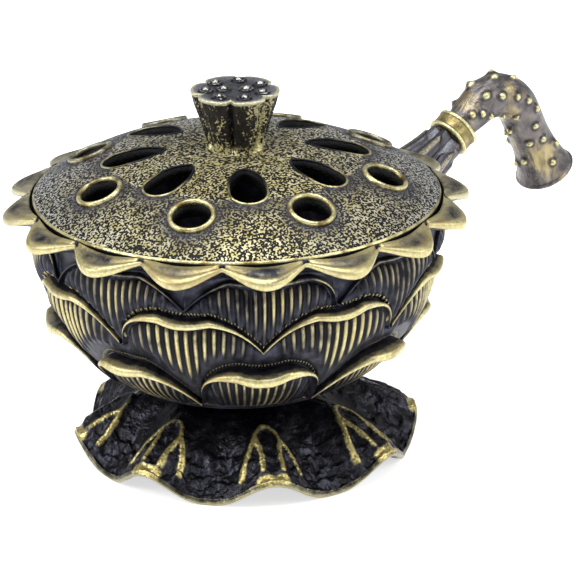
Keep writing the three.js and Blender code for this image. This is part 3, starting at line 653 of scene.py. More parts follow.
# %% A plate with holes
def edge_loop(outline):
    """An outline (mm, about the lid's axis) as a closed line of edges."""
    mesh = bpy.data.meshes.new("outline")
    count = len(outline)
    mesh.from_pydata([((AXIS_X + x) * MM, y * MM, 0) for x, y in outline],
                     [(i, (i + 1) % count) for i in range(count)], [])
    loop = bpy.data.objects.new("outline", mesh)
    bpy.context.collection.objects.link(loop)
    return loop


def edge_circle(vertices, radius):
    """A circle of edges (mm) about the lid's axis."""
    deselect()
    bpy.ops.mesh.primitive_circle_add(vertices=vertices, radius=radius * MM, location=(AXIS_X * MM, 0, 0))
    settle(bpy.context.object)
    return bpy.context.object


def plate_with_holes(name, outer_radius, inner_radius, cell):
    """A flat plate about the lid's axis, filled between its outlines and cut by planes into small faces."""
    plate = edge_circle(256, outer_radius)
    plate.name = name
    join(plate, edge_circle(96, inner_radius), *(edge_loop(outline) for outline in outlines))
    edit(plate)
    bpy.ops.mesh.fill(use_beauty=True)
    for normal in (Vector((1, 0, 0)), Vector((0, 1, 0))):
        at = -outer_radius + cell / 2
        while at < outer_radius:
            bpy.ops.mesh.select_all(action="SELECT")
            bpy.ops.mesh.bisect(plane_co=(Vector((AXIS_X, 0, 0)) + normal * at) * MM, plane_no=normal, use_fill=False)
            at += cell
    bpy.ops.object.mode_set(mode="OBJECT")
    return plate


lid = plate_with_holes("pierced_dome", LID_R - PLATE_EDGE, inner_radius=4.5, cell=0.9)
print("lid plate", len(lid.data.polygons), "faces")

# %% Lift the plate onto the dome
def nearest_edge(xy):
    """The distance (mm) from each point to the nearest outline of a hole."""
    best = np.full(len(xy), 1e9)
    for outline in outlines:
        a, b = outline, np.roll(outline, -1, 0)
        near = np.linalg.norm(xy - outline.mean(0), axis=1) < 14
        p = xy[near][:, None, :]
        ab = (b - a)[None]
        t = np.clip(((p - a[None]) * ab).sum(-1) / (ab ** 2).sum(-1), 0, 1)
        best[near] = np.minimum(best[near], np.linalg.norm(p - a[None] - t[..., None] * ab, axis=-1).min(1))
    return best


def lift_lid():
    """Gives the flat plate its wall (top and bottom), then lifts it onto the dome."""
    edit(lid)
    bpy.ops.mesh.normals_make_consistent(inside=False)
    bpy.ops.mesh.extrude_region_move(TRANSFORM_OT_translate={"value": (0, 0, -MM)})
    bpy.ops.object.mode_set(mode="OBJECT")
    co = np.empty((len(lid.data.vertices), 3), np.float32)
    lid.data.vertices.foreach_get("co", co.ravel())
    co = co / MM
    x, y, top = co[:, 0] - AXIS_X, co[:, 1], co[:, 2] > -0.5
    radius = np.hypot(x, y)
    under = np.where(radius > 36, LEDGE_Z, dome(np.minimum(radius, SKIRT_R), DOME_R - LID_WALL))
    co[:, 2] = np.where(top, dome_top(radius), under)
    lid.data.vertices.foreach_set("co", np.ascontiguousarray(co * MM, np.float32).ravel())
    lid.data.update()
    halo = np.exp(-np.maximum(nearest_edge(np.stack([x, y], 1)) - 1.1, 0) / 2.2)
    halo = np.where(radius > 25, halo, 0)  # only the round holes stand in smoother rings
    for key, values in (("halo", halo * top), ("top", top)):
        lid.data.attributes.new(key, "FLOAT", "POINT").data.foreach_set("value", values.astype(np.float32))


lift_lid()
closed(lid)
print("lid", len(lid.data.polygons), "faces")

# %% [markdown]
# ## The lid's border
# Round the stippled dome runs a smooth edge, and under it a short skirt that keeps the lid in the bowl's mouth. Both
# are plain rings, so they are turned: a profile with rounded corners is spun round the axis, as on a lathe. The
# border could be part of the dome's plate, but as a ring of its own it gets crisp corners and its own rubbed finish.

# %% Border
def rounded(profile, rounds):
    """The profile with each listed corner rounded: {index: radius in mm}."""
    out = []
    for i, corner in enumerate(profile):
        p = np.array(corner, float)
        if i not in rounds:
            out.append(tuple(p))
            continue
        a, b = np.array(profile[i - 1], float) - p, np.array(profile[(i + 1) % len(profile)], float) - p
        size = min(rounds[i], np.linalg.norm(a) * 0.49, np.linalg.norm(b) * 0.49)
        a, b = p + a / np.linalg.norm(a) * size, p + b / np.linalg.norm(b) * size
        for t in np.linspace(0, 1, 5):
            out.append(tuple((1 - t) ** 2 * a + 2 * (1 - t) * t * p + t ** 2 * b))
    return out


def lathe(name, profile, steps):
    """A profile of (radius, height) in mm, spun round the axis of the bowl with the spin tool."""
    mesh = bpy.data.meshes.new(name)
    mesh.from_pydata([((AXIS_X + r) * MM, 0, z * MM) for r, z in profile],
                     [(i, i + 1) for i in range(len(profile) - 1)], [])
    piece = bpy.data.objects.new(name, mesh)
    bpy.context.collection.objects.link(piece)
    edit(piece)
    bpy.ops.mesh.spin(steps=steps, angle=math.tau, center=(AXIS_X * MM, 0, 0), axis=(0, 0, 1))
    bpy.ops.object.mode_set(mode="OBJECT")
    return closed(piece)


border = lathe("lid_border", rounded([
    (35.0, float(dome(SKIRT_R, DOME_R - LID_WALL))), (SKIRT_R, LEDGE_Z - SKIRT_H), (SKIRT_OUT_R, LEDGE_Z - SKIRT_H),
    (SKIRT_OUT_R, LEDGE_Z), (LID_R, LEDGE_Z), (LID_R, EDGE_Z - 0.15),
    (LID_R - 0.55, float(dome(LID_R - 0.55)) + 0.06), (LID_R - 0.8, float(dome(LID_R - 0.8)) - 0.1),
    (LID_R - 1.0, LEDGE_Z + 1.0), (36.0, LEDGE_Z + 1.0)],
    {1: 0.4, 2: 0.4, 4: 0.3, 5: 0.4, 6: 0.2}), 192)
print("border", len(border.data.polygons), "faces")

# %% [markdown]
# ## The lips of the holes
# Each round hole has a raised lip, and each teardrop a thin raised edge. A lip is a torus, flattened a little and set
# square to the dome. A teardrop's edge is a round wire, laid along its outline on the dome: a curve with a bevel does
# that at once, and then becomes a mesh. One of each is modelled, and copied round the lid.

# %% Lips of the holes
LIP_R, LIP_WIRE_R, LIP_RAISE, TEAR_WIRE_R = 4.24, 0.48, 0.05, 0.24


def round_lip():
    deselect()
    bpy.ops.mesh.primitive_torus_add(major_segments=48, minor_segments=14, major_radius=LIP_R * MM,
                                     minor_radius=LIP_WIRE_R * MM)
    lip = bpy.context.object
    lip.scale = (1, 1, 1.3)
    settle(lip)
    return lip


def tear_lip():
    """The wire round a teardrop that points along +X, on a dome round the origin."""
    shape = tear_outline()
    shape = shape * (1 + 0.16 / np.maximum(np.hypot(*shape.T), 1))[:, None] + (TEAR_AT, 0)
    x, y = shape.T
    curve = bpy.data.curves.new("tear_lip", "CURVE")
    curve.dimensions = "3D"
    curve.bevel_depth = TEAR_WIRE_R * MM
    curve.bevel_resolution = 2
    spline = curve.splines.new("POLY")
    spline.points.add(len(x) - 1)
    spline.points.foreach_set("co", np.stack([x * MM, y * MM, dome_top(np.hypot(x, y)) * MM, 1 + 0 * x], 1).ravel())
    spline.use_cyclic_u = True
    wire = bpy.data.objects.new("tear_lip", curve)
    bpy.context.collection.objects.link(wire)
    pick(wire)
    bpy.ops.object.convert(target="MESH")
    return bpy.context.object


def hole_lips():
    ring, tear, lips = round_lip(), tear_lip(), []
    slope = math.asin(ROUND_AT / DOME_R)
    lift = Matrix.Translation((ROUND_AT * MM, 0, (float(dome_top(ROUND_AT)) + LIP_RAISE) * MM))
    for i in range(HOLES):
        for model, half_way, stand in ((ring, 0, lift @ Matrix.Rotation(slope, 4, "Y")), (tear, 0.5, Matrix())):
            turn = Matrix.Rotation(math.radians(HOLE_TURN + 360 / HOLES * (i + half_way)), 4, "Z")
            lips.append(place(copy_of(model), Matrix.Translation((AXIS_X * MM, 0, 0)) @ turn @ stand))
    for model in (ring, tear):
        bpy.data.objects.remove(model)
    lips = join(*lips)
    lips.name = "hole_lips"
    return closed(lips)


lips = hole_lips()
print("lips", len(lips.data.polygons), "faces")

# %% [markdown]
# ## The lid's finish
# The real dome is covered with cast stipple: small dark pits in a net of rubbed metal, with smoother dark rings round
# the round holes. A golden cast in front and a silvery one at the back are painted light. Each pit could be modelled,
# but there are thousands of them, each under half a millimetre. One noise, cut off so sharply that it breaks up into
# worms, gives both their colour and their bump. The border and the lips are bare metal with some brown left in it.

# %% Finish of the lid
def stipple_finish():
    """Cast stipple: dark pits in a net of rubbed metal, with painted light: golden in front and greyer at the back."""
    f = Finish("stippled_lid")
    halo, top = f.attribute("halo"), f.attribute("top")
    worm, grain, broad = f.noise(2.3, 0.0, distortion=0.2), f.noise(0.5, 2), f.noise(0.06, 2)
    raised = worm.step(0.485, 0.565) * (1 - halo * 0.85)
    worn = raised * ((grain - 0.5) * 0.8 + (broad - 0.5) * 1.4 + 0.9).clamp()
    # painted light: metal and pits turn from a golden cast in front to a greyer one at the back and towards the edge
    away = f.from_axis() * (1 / LID_R)
    depth = f.along("Y") * 0.009 + (f.along("X") - AXIS_X) * 0.008
    painted_back_grey = (depth + away * away * 0.45 + (grain - 0.5) * 0.6 + 0.36).step(0.1, 0.9)
    gold = f.blend(grain.step(0.3, 0.7), rgb(172, 161, 102), rgb(196, 188, 142))
    metal = f.blend(painted_back_grey, gold, rgb(176, 177, 175))
    pits = f.blend(halo, f.blend(painted_back_grey, rgb(14, 12, 12), rgb(18, 19, 26)), rgb(44, 44, 56))
    colour = f.blend(top.step(0.93, 1.0), rgb(12, 12, 14), f.blend(worn, pits, metal))  # sooty underneath
    return f.wear(base_color=colour, metallic=0.66, roughness=0.64 - worn * 0.06, normal=f.bump(raised, 0.3))


def rubbed_finish(name, bare):
    """Rubbed brass with brown left in it; bare gives 1 where the metal shows and 0 where it stayed dark."""
    f = Finish(name)
    grain, fine = f.noise(0.35, 3), f.noise(2.0, 3)
    gold = f.blend(fine.step(0.3, 0.7), GOLD, PALE)
    # painted light: greyer brass at the back
    gold = f.blend(f.painted_back_grey(grain) * 0.8, gold, rgb(164, 162, 146))
    colour = f.blend(bare(f), DARK, f.blend(grain.step(0.42, 0.68), gold, BROWN))
    return f.wear(base_color=colour, metallic=0.85, roughness=0.38 + (fine - 0.5) * 0.2, normal=f.bump(fine, 0.1))


def bare_edge(f):
    """The border's metal shows only in a thin line along its top edge."""
    return (f.along("Z") - EDGE_Z + 0.4).step(0.0, 0.25) * f.from_axis().step(LID_R - 0.6, LID_R - 0.3)


def bare_lips(f):
    """The round lips are rubbed and the edges of the teardrops stayed dark; less metal shows at the back, which is
    painted light.
    """
    return f.from_axis().step(18.5, 26.5) * (1 - 0.5 * f.painted_back_grey(f.noise(0.35)))


lid.data.materials.append(stipple_finish())
border.data.materials.append(rubbed_finish("border_edge", bare_edge))
lips.data.materials.append(rubbed_finish("hole_edges", bare_lips))
for piece, slot in ((border, "rubbed_brass"), (lips, "rubbed_brass"), (lid, "antique_brass")):
    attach(piece, "lid_assembly")
    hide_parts("lid")
print("lid finished")

# %% [markdown]
# ## The knob
# The knob is a lotus seed pod: a lobed cone that widens upwards, with a thin rim and a flat top in which nine seeds
# sit in their rings. The pod is a wrapped sheet like the bowl, because its creases run from its foot over its rim
# onto the top. The seeds could be bumps of that sheet, but they stand in it loosely, so one is modelled, as a ring
# and a bead, and copied to the nine places.

# %% Seed pod
KNOB_Z, KNOB_H, KNOB_TOP, KNOB_WAIST = 62.0, 12.4, 8.75, 5.0
KNOB_TURN, LOBES, POD_STEPS = 11.6, 6, 360


def pod_sheet():
    angle = round_angles(POD_STEPS)
    u = np.abs(petal(angle, LOBES, KNOB_TURN))
    rough = np.array([noise.noise(Vector((math.cos(a) * 9, math.sin(a) * 9, 0))) for a in np.radians(angle)])
    sheet = Sheet(angle, rim=0)

    def ring(radius, z, depth, rim):
        """depth is how far the creases between the lobes are cut in, from 0 to 1."""
        crease = 1.45 * depth * np.exp(-((1 - u) / 0.16) ** 1.3) + 0.45 * depth * u ** 2
        sheet.ring(radius - crease, KNOB_Z + z, rim=rim)

    ring(0, 0.0, 0, 0)
    ring(KNOB_WAIST + 1.0, 0.0, 0, 0)
    for s in np.linspace(0.02, 0.95, 34):  # up the flank
        flare = 1.0 * np.exp(-s / 0.1)
        rib = 0.3 * rough * ease(s / 0.1) * ease((0.97 - s) / 0.2)
        ring(mix(KNOB_WAIST, KNOB_TOP - 0.1, (s / 0.95) ** 1.15) + flare + rib, s * KNOB_H, ease(s / 0.2),
             0.9 * (s > 0.93))
    for t in np.linspace(0.15, np.pi / 2, 7):  # over the thin rim
        ring(KNOB_TOP - 0.35 + 0.35 * np.cos(t - 0.3), KNOB_H - 0.4 + 0.4 * np.sin(t), 1, 1)
    for s in np.linspace(0.05, 1, 10):  # across the top
        ring((KNOB_TOP - 0.5) * (1 - s), KNOB_H - 0.22 * ease(s / 0.2) + 0.12 * s, 1 - s, 0.9 * np.exp(-s / 0.05))
    return sheet


pod = pod_sheet().wrap("seed_pod")

# %% Seeds
SEED_RING_R, SEED_WIRE_R, SEED_R = 1.18, 0.45, 0.7
OUTER_SEEDS, OUTER_AT, INNER_AT = 7, 5.7, 2.2


def seeds():
    deselect()
    bpy.ops.mesh.primitive_torus_add(major_segments=24, minor_segments=10, major_radius=SEED_RING_R * MM,
                                     minor_radius=SEED_WIRE_R * MM)
    ring = bpy.context.object
    deselect()
    bpy.ops.mesh.primitive_uv_sphere_add(segments=18, ring_count=10, radius=SEED_R * MM, location=(0, 0, 0.2 * MM))
    model = join(ring, bpy.context.object)
    spots = [(OUTER_AT, -10.1 + i * 360 / OUTER_SEEDS) for i in range(OUTER_SEEDS)]
    spots += [(INNER_AT, -41.4), (INNER_AT, 138.6)]
    made = []
    for radius, degrees in spots:
        a = math.radians(degrees)
        at = ((AXIS_X + radius * math.cos(a)) * MM, radius * math.sin(a) * MM, (KNOB_Z + KNOB_H - 0.2) * MM)
        made.append(place(copy_of(model), Matrix.Translation(at)))
    bpy.data.objects.remove(model)
    made = join(*made)
    made.name = "seeds"
    return closed(made)


seed = seeds()
print("seeds", len(seed.data.polygons), "faces")

# %% [markdown]
# The pod's flank is brown-black with brass flecks, most of them low down and on its two sides. The lid's stipple
# climbs its flared foot, and the rim is rubbed. The seeds are dark, with glints.

# %% Finish of the knob
def pod_finish():
    f = Finish("seed_pod")
    rim = f.attribute("rim")
    grain, fine = f.noise(0.8, 3, stretch=(1, 1, 0.3)), f.noise(2.2, 2)
    streak = f.noise(0.22, 1, stretch=(1, 1, 0.15))
    height = f.along("Z") - KNOB_Z
    low = 1 - height.step(0.5, KNOB_H * 0.6)
    sideways = (f.along("X") - AXIS_X) * 0.75 - f.along("Y") * 0.66
    flank = 1 - ((sideways * (1 / KNOB_TOP)).math("ABSOLUTE") - 0.42).math("ABSOLUTE").step(0.06, 0.3)
    speck = (grain * 0.6 + streak * 0.5 + (fine - 0.5) * 0.7 + low * 0.07 + flank * 0.11).step(0.65, 0.77)
    foot = 1 - height.step(0.8, 3.0)
    speck = speck.math("MAXIMUM", foot * f.noise(2.05, 0.0, distortion=0.35).step(0.475, 0.555))
    side = 1 - (height - KNOB_H).step(-0.7, -0.4)
    rub = (speck * side).math("MAXIMUM", rim.step(0.35, 0.9))
    outwards = f.from_axis().step(KNOB_TOP * 0.55, KNOB_TOP * 1.15)
    ground = f.blend(side, rgb(128, 130, 142), rgb(50, 47, 46))
    dark = f.blend((fine + outwards - 0.3).clamp(), rgb(30, 29, 32), ground)
    gold = f.blend(rim * 0.6, f.blend(fine.step(0.3, 0.7), GOLD, PALE), rgb(184, 184, 168))
    return f.wear(base_color=f.blend(rub, dark, gold), metallic=0.75, roughness=0.42,
                  normal=f.bump(grain + fine * 0.5, 0.4))


def seed_finish():
    """Seeds in their rings: dark metal with glints."""
    f = Finish("pod_seeds")
    grain = f.noise(1.6, 2)
    high = (f.along("Z") - KNOB_Z - KNOB_H).step(0.0, 0.5) * 0.5
    glint = f.blend(grain.step(0.4, 0.6), rgb(112, 112, 112), rgb(192, 191, 180))
    colour = f.blend((grain + high - 0.15).step(0.48, 0.8), rgb(30, 31, 38), glint)
    return f.wear(base_color=colour, metallic=0.8, roughness=0.32, normal=f.bump(grain, 0.15))


pod.data.materials.append(pod_finish())
seed.data.materials.append(seed_finish())
for piece in (pod, seed):
    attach(piece, "lid_assembly")
    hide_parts("knob")
print("knob finished")

# %% [markdown]
# ## The foot
# The foot is a lotus leaf turned over: it flares from the bowl's seat to a hem that stands on the table in eight
# waves, with forked veins towards each crest and crumpled skin between them. Displacing a turned shape with a texture
# would crumple it but couldn't place the veins. In a wrapped sheet both are sums: a ridge along each line of a vein,
# and turbulence for the crumples, which fades near the hem, so that the leaf still stands flat.

# %% Veins and crumples of the leaf
HEM_WAVES, HEM_TURN = 8, -7.7
HEM_R, HEM_SWING, HEM_RISE = 32.3, 2.2, 4.7      # the hem's radius, what a crest adds to it, and a crest's height
HEM_DRIFT, DRIFT_TURN = 1.2, 41                  # the real hem isn't quite round
LEAF_L, LEAF_WALL = 19.0, 1.9
VEIN_H, VEIN_W, VEIN_REACH_R = 0.7, 0.76, 33
FOOT_STEPS = 704
FRONT = -131.4                                   # the side that faces the photo's camera, in degrees
VEINS = [  # an arch that forks on both sides, as (degrees from the crest, share of the way to the hem)
    [(0, 0.35), (-2.4, 0.39), (-4.6, 0.47), (-6.6, 0.57), (-9, 0.71), (-10.6, 0.87)],
    [(-4.6, 0.47), (-3.4, 0.58), (-2.8, 0.7), (-2.9, 0.86)],
    [(0, 0.35), (2.8, 0.36), (5.4, 0.42), (6.6, 0.52), (8.6, 0.59), (10.3, 0.7), (11, 0.86)],
    [(6.6, 0.52), (5.4, 0.6), (4.6, 0.72), (4.3, 0.87)],
]


def vein_ridge(crestward, share):
    """How high the veins stand (0 to 1) at an angle from the nearest crest, a share of the way to the hem."""
    best = np.full(len(crestward), 1e9)
    width = mix(SEAT_R, VEIN_REACH_R, share) * math.pi / 180
    px, py = crestward * width, share * LEAF_L
    for line in VEINS:
        for (a0, s0), (a1, s1) in zip(line, line[1:]):
            ax, ay, bx, by = a0 * width, s0 * LEAF_L, a1 * width, s1 * LEAF_L
            t = np.clip(((px - ax) * (bx - ax) + (py - ay) * (by - ay)) / ((bx - ax) ** 2 + (by - ay) ** 2), 0, 1)
            best = np.minimum(best, np.hypot(px - ax - t * (bx - ax), py - ay - t * (by - ay)))
    return np.exp(-(best / VEIN_W) ** 2)


def crinkle(radius, angle, z, per_mm=0.42):
    """Turbulence at each point: creases between lumps, as in crumpled skin."""
    a = np.radians(angle)
    return np.array([noise.turbulence(Vector(p) * per_mm, 4, False)
                     for p in zip(radius * np.cos(a), radius * np.sin(a), z)])


print("lines in a fan of veins:", len(VEINS))

# %% Leaf
BOSS_R, BOSS_Z, CROWN_Z = 6, 8.9, 12.0  # under the leaf hangs a boss that takes the screw


def foot_sheet():
    angle = round_angles(FOOT_STEPS)
    crestward = (angle - HEM_TURN) % (360 / HEM_WAVES) - 180 / HEM_WAVES
    wave = (1 - np.cos(np.radians(HEM_WAVES * (angle - HEM_TURN)))) / 2
    hem_z = HEM_RISE * wave ** 1.35
    hem_r = HEM_R + HEM_SWING * wave + HEM_DRIFT * np.cos(np.radians(angle + DRIFT_TURN))
    crested = ease((wave - 0.72) / 0.22)
    in_front = mix(0.25, 1.0, ease((np.cos(np.radians(angle - FRONT)) + 0.05) / 0.5))
    sheet = Sheet(angle, vein=0, hem=0, crest=0)

    def leaf(share):
        return mix(SEAT_R, hem_r, share), mix(13.9, hem_z + 1.4, share ** mix(1.05, 1.5, wave))

    for radius, z in ((0, BOSS_Z), (BOSS_R, BOSS_Z), (BOSS_R, CROWN_Z)):
        sheet.ring(radius, z)
    for s in (0.1, 0.3, 0.5, 0.7, 0.85, 0.95):  # out under the leaf
        radius, z = leaf(s)
        sheet.ring(radius - 2.4 * s, np.maximum(z - LEAF_WALL, hem_z))
    sheet.ring(hem_r - 2.4, hem_z)
    sheet.ring(hem_r - 0.5, hem_z, hem=0.9)
    for t in (0.1, 0.3, 0.5, 0.7, 0.9):  # round the hem
        sheet.ring(hem_r - 0.45 + 0.45 * math.sin(t * math.pi), hem_z + 1.15 * t, hem=1 - 0.6 * t, crest=crested * t)
    for s in np.linspace(0.985, 0, 96):  # and back over its top
        radius, z = leaf(s)
        vein = vein_ridge(crestward, s) * ease(1 - (s - 0.9) / 0.1)
        height = mix(0.3, 1.1, ease((s - 0.4) / 0.3) * (1 - 0.6 * wave)) * ease(s / 0.15) * ease((1.0 - s) / 0.05)
        crumple = (crinkle(radius, angle, z) - 0.55) * height * (1 - 0.7 * vein)
        sheet.ring(radius, np.maximum(z + VEIN_H * vein + crumple, hem_z + 0.3),
                   vein=vein * mix(0.8, 1.0, ease((s - 0.4) / 0.25)) * in_front,
                   hem=0.5 * np.exp(-(0.985 - s) / 0.012), crest=crested * ease((s - 0.85) / 0.09))
    sheet.ring(SEAT_R, FOOT_H)
    sheet.ring(0, FOOT_H)
    return sheet


foot = foot_sheet().wrap("leaf_foot")

# %% [markdown]
# The leaf is the darkest piece: near-black, glossy where the crumples catch the light, and rubbed to brass only along
# the lower veins and at the crests of the hem.

# %% Finish of the foot
def leaf_finish():
    """Near-black bronze, rubbed along the lower veins and at the hem's crests."""
    f = Finish("darkened_leaf")
    vein, hem, crest = f.attribute("vein"), f.attribute("hem"), f.attribute("crest")
    grain, fine, broad = f.noise(0.5, 3), f.noise(2.0, 3), f.noise(0.1, 2)
    rub = (vein * 1.1 + (grain - 0.5) * 0.7 + (broad - 0.5) * 0.6).step(0.5, 0.95)
    golden = (crest + (grain - 0.5) * 0.5 + (broad - 0.5) * 0.5).step(0.45, 0.9)
    pale = (hem + (grain - 0.5) * 0.5).step(0.35, 0.8) * 0.95
    dark = f.blend(grain.step(0.4, 0.75), rgb(20, 20, 25), rgb(50, 50, 60))
    gold = f.blend(fine.step(0.3, 0.7), rgb(156, 140, 82), rgb(202, 190, 132))
    colour = f.blend(rub.math("MAXIMUM", golden), f.blend(pale, dark, rgb(158, 152, 118)), gold)
    return f.wear(base_color=colour, metallic=0.78, roughness=0.3 + (fine - 0.5) * 0.2,
                  normal=f.bump(fine * 0.7 + grain * 0.6, 0.2))


foot.data.materials.append(leaf_finish())
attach(foot, "base")
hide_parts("foot")
print("foot finished")

# %% [markdown]
# ## The handle
# The handle leaves the bowl's wall at a slant: a neck of six sepals, a ferrule with two raised bands, and a stem that
# bends down and ends in a bell. All three are tubes, so each is a sheet again, but wrapped round the handle's own
# line instead of the bowl's axis. A curve with a bevel would give the tube at once, but not its sepals and thorns.

# %% The handle's line
SLOPE = math.radians(31.2)
NECK_Z = FOOT_H + 0.688 * BOWL_H
NECK_AT = Vector((AXIS_X + float(wall(NECK_Z)), 0, NECK_Z))
WAY = Vector((math.cos(SLOPE), 0, math.sin(SLOPE)))    # along the handle
OUT = Vector((-math.sin(SLOPE), 0, math.cos(SLOPE)))   # square to it, upwards
SIDE = Vector((0, 1, 0))
NECK_L, FERRULE_W, GAP = 20.8, 3.8, 0.3


def sleeve(name, points, shown):
    """A sheet of rings x columns points (mm), closed at both ends by a point."""
    ends = [np.tile(ring.mean(0), (1, points.shape[1], 1)) for ring in (points[0], points[-1])]
    shown = {key: np.concatenate([rows[:1], rows, rows[-1:]]) for key, rows in shown.items()}
    return wrapped(name, np.concatenate([ends[0], points, ends[1]]), shown)


def along_handle(distance, radius, angle):
    """Points round the handle's straight axis; the angle starts at the top and turns towards +Y."""
    a = np.radians(angle)
    return (np.array(NECK_AT) + np.outer(distance + 0 * a, WAY)
            + np.outer(radius * np.cos(a), OUT) + np.outer(radius * np.sin(a), SIDE))


print("the handle starts at", [round(v, 1) for v in NECK_AT], "mm")

# %% [markdown]
# The neck has to meet a round wall at a slant, so its lines don't start level. Each line is followed inwards until it
# is under the wall, and the neck starts there. Its six sepals are long ridges with grooves between them, and end in
# points below the ferrule.

# %% Neck
SEPALS, NECK_WIDE, NECK_SLIM, NECK_STEPS, NECK_ROOT = 6, 6.9, 3.9, 240, 7.2


def wall_start(angle, radius, depth):
    """How far along the handle's axis each line of the neck goes under the bowl's wall, by a depth."""
    best = np.zeros(len(angle))
    for distance in np.linspace(12, -6, 361):
        x, y, z = along_handle(distance, radius, angle).T
        best = np.where(np.hypot(x - AXIS_X, y) > wall(z) - depth, distance, best)
    return best


def neck_points():
    angle = round_angles(NECK_STEPS)
    start = wall_start(angle, NECK_ROOT, 1.5)
    u = np.abs(petal(angle, SEPALS, 90))
    rings, ridges = [], []
    for s in np.linspace(0, 1, 70):
        taper = mix(NECK_WIDE, NECK_SLIM, ease((s - 0.1) / 0.8) * 0.6 + 0.4 * s)
        tongue = ease((0.93 - 0.16 * u - s) / 0.05)
        groove = np.exp(-((u - 0.86) / 0.12) ** 2)
        radius = taper + 0.6 * (1 - 2 * u) - 0.6 * groove * tongue - 0.5 * (1 - tongue)
        rings.append(along_handle(mix(start, NECK_L, s), radius, angle))
        ridges.append((np.exp(-(u / 0.36) ** 2) * 0.72 + 0.25 * np.exp(-((u - 0.72) / 0.08) ** 2)) * tongue)
    return np.array(rings), dict(ridge=np.array(ridges))


neck = sleeve("sepal_neck", *neck_points())

# %% [markdown]
# The stem goes straight for a little, bends down through 94 degrees, and runs straight again to its bell. Its thorns
# stand where the photo shows them, and again on the side that it doesn't show. They grow out of the tube itself, so
# each has a soft foot, as a cast thorn has.

# %% Stem
STEM_LEAD, BEND_R, BEND_A, STEM_LEG = 5.4, 8.5, math.radians(94), 17.4
BEND_L = BEND_R * BEND_A
STEM_L = STEM_LEAD + BEND_L + STEM_LEG
APEX = STEM_LEAD + BEND_L / 2
STEM_ROOT, STEM_MIDDLE, STEM_SLIM, BELL_R, BELL_ROUND = 3.2, 4.5, 4.2, 6.3, 1.4
THORN_H, THORN_W, STEM_STEPS = 1.0, 0.72, 160
THORNS = [  # (mm along the stem, degrees from its top towards the camera)
    (2, 57), (3.75, 78), (5, 105), (6.5, 48), (6.75, -12), (9, 72), (9.75, 15), (10.25, 138), (11, -21), (12.75, 27),
    (12.75, 81), (16, 78), (16.25, 132), (19, 72), (21.25, 171), (22, 99), (25.25, 132), (26, 93), (29.5, 60),
    (29.5, 165), (31.75, 99)]
UNSEEN_THORNS = [(distance + 1.1, -degrees) for distance, degrees in THORNS if abs(degrees) > 30]


def outward(slope):
    return Vector((-math.sin(slope), 0, math.cos(slope)))


def stem_path(distance):
    """The stem's centre line: point and outward side at a distance (mm) from its foot."""
    bent = min(max(distance - STEM_LEAD, 0), BEND_L)
    slope = SLOPE - bent / BEND_R
    point = NECK_AT + WAY * (NECK_L + 2 * GAP + FERRULE_W + min(distance, STEM_LEAD))
    point = point - outward(SLOPE) * BEND_R + outward(slope) * BEND_R
    rest = max(0, distance - STEM_LEAD - BEND_L)
    return point + Vector((math.cos(slope), 0, math.sin(slope))) * rest, outward(slope)


def stem_radius(distance):
    if distance < APEX:
        return mix(STEM_ROOT, STEM_MIDDLE, math.sin(distance / APEX * math.pi / 2))
    share = (distance - APEX) / (STEM_L - APEX)
    return mix(mix(STEM_MIDDLE, STEM_SLIM, min(1, share * 2)), BELL_R, max(0, (share - 0.5) / 0.5) ** 2.0)


def stem_points():
    angle = round_angles(STEM_STEPS)
    a = np.radians(angle)
    stations = [(d, stem_radius(d)) for d in np.linspace(0, STEM_L - BELL_ROUND, 150)]
    stations += [(STEM_L - BELL_ROUND * (1 - math.sin(t)), BELL_R - BELL_ROUND * (1 - math.cos(t)))
                 for t in np.linspace(0.2, math.pi / 2, 7)]
    rings, thorns = [], []
    for distance, radius in stations:
        point, out = stem_path(min(distance, STEM_L))
        thorn = np.zeros(STEM_STEPS)
        for at, degrees in THORNS + UNSEEN_THORNS:
            # the camera is on the -Y side, so an angle towards it is taken with its sign turned
            across = ((angle + degrees + 180) % 360 - 180) * math.pi / 180 * radius
            away = np.hypot(distance - at, across)
            thorn = np.maximum(thorn, np.exp(-(away / THORN_W) ** 1.6))
        r = radius + THORN_H * thorn
        rings.append(np.array(point) + np.outer(r * np.cos(a), out) + np.outer(r * np.sin(a), SIDE))
        thorns.append(thorn)
    return np.array(rings), dict(bump=np.array(thorns))


stem = sleeve("thorned_stem", *stem_points())

# %% [markdown]
# The ferrule is a plain turned ring with a raised band at each end. Inside the bowl, a bored post stands where the
# neck's screw comes through the wall. It belongs to the bowl's casting, and shows only when the lid is off. Both are
# profiles of a few corners, wrapped round the handle's line.

# %% Ferrule and boss
def turned_points(profile, columns):
    """Rings along the handle's line, from a profile of (radius, distance)."""
    angle = round_angles(columns)
    return np.array([along_handle(distance, radius + 0 * angle, angle) for radius, distance in profile])


def ferrule_points(columns=160):
    start = NECK_L + GAP
    profile = [(3.0, 0, 0), (4.35, 0, 0.6), (4.6, 0.2, 1), (4.6, 0.55, 1), (4.42, 0.75, 0.3), (4.38, 0.95, 0),
               (4.38, 2.85, 0), (4.42, 3.05, 0.3), (4.6, 3.25, 1), (4.6, 3.6, 1), (4.35, 3.8, 0.6), (3.0, 3.8, 0)]
    beads = np.array([[bead] * columns for _, _, bead in profile], float)
    return turned_points([(radius, start + distance) for radius, distance, _ in profile], columns), dict(bead=beads)


def boss_points(columns=64):
    """A bored post, from the wall to where the neck's washer bears."""
    low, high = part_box("neck_washer")
    face = ((low[0] + high[0]) / 2 / MM - NECK_AT.x) / math.cos(SLOPE) + 0.45
    profile = [(4.4, 1.5), (4.4, 0), (4.4, face + 2), (4.4, face + 0.4), (4.25, face + 0.12), (4.0, face),
               (2.3, face), (2.1, face + 0.2), (2.1, 0), (2.1, 1.0)]
    return turned_points(profile, columns), {}


ferrule = sleeve("ferrule_band", *ferrule_points())
boss = sleeve("neck_boss", *boss_points())

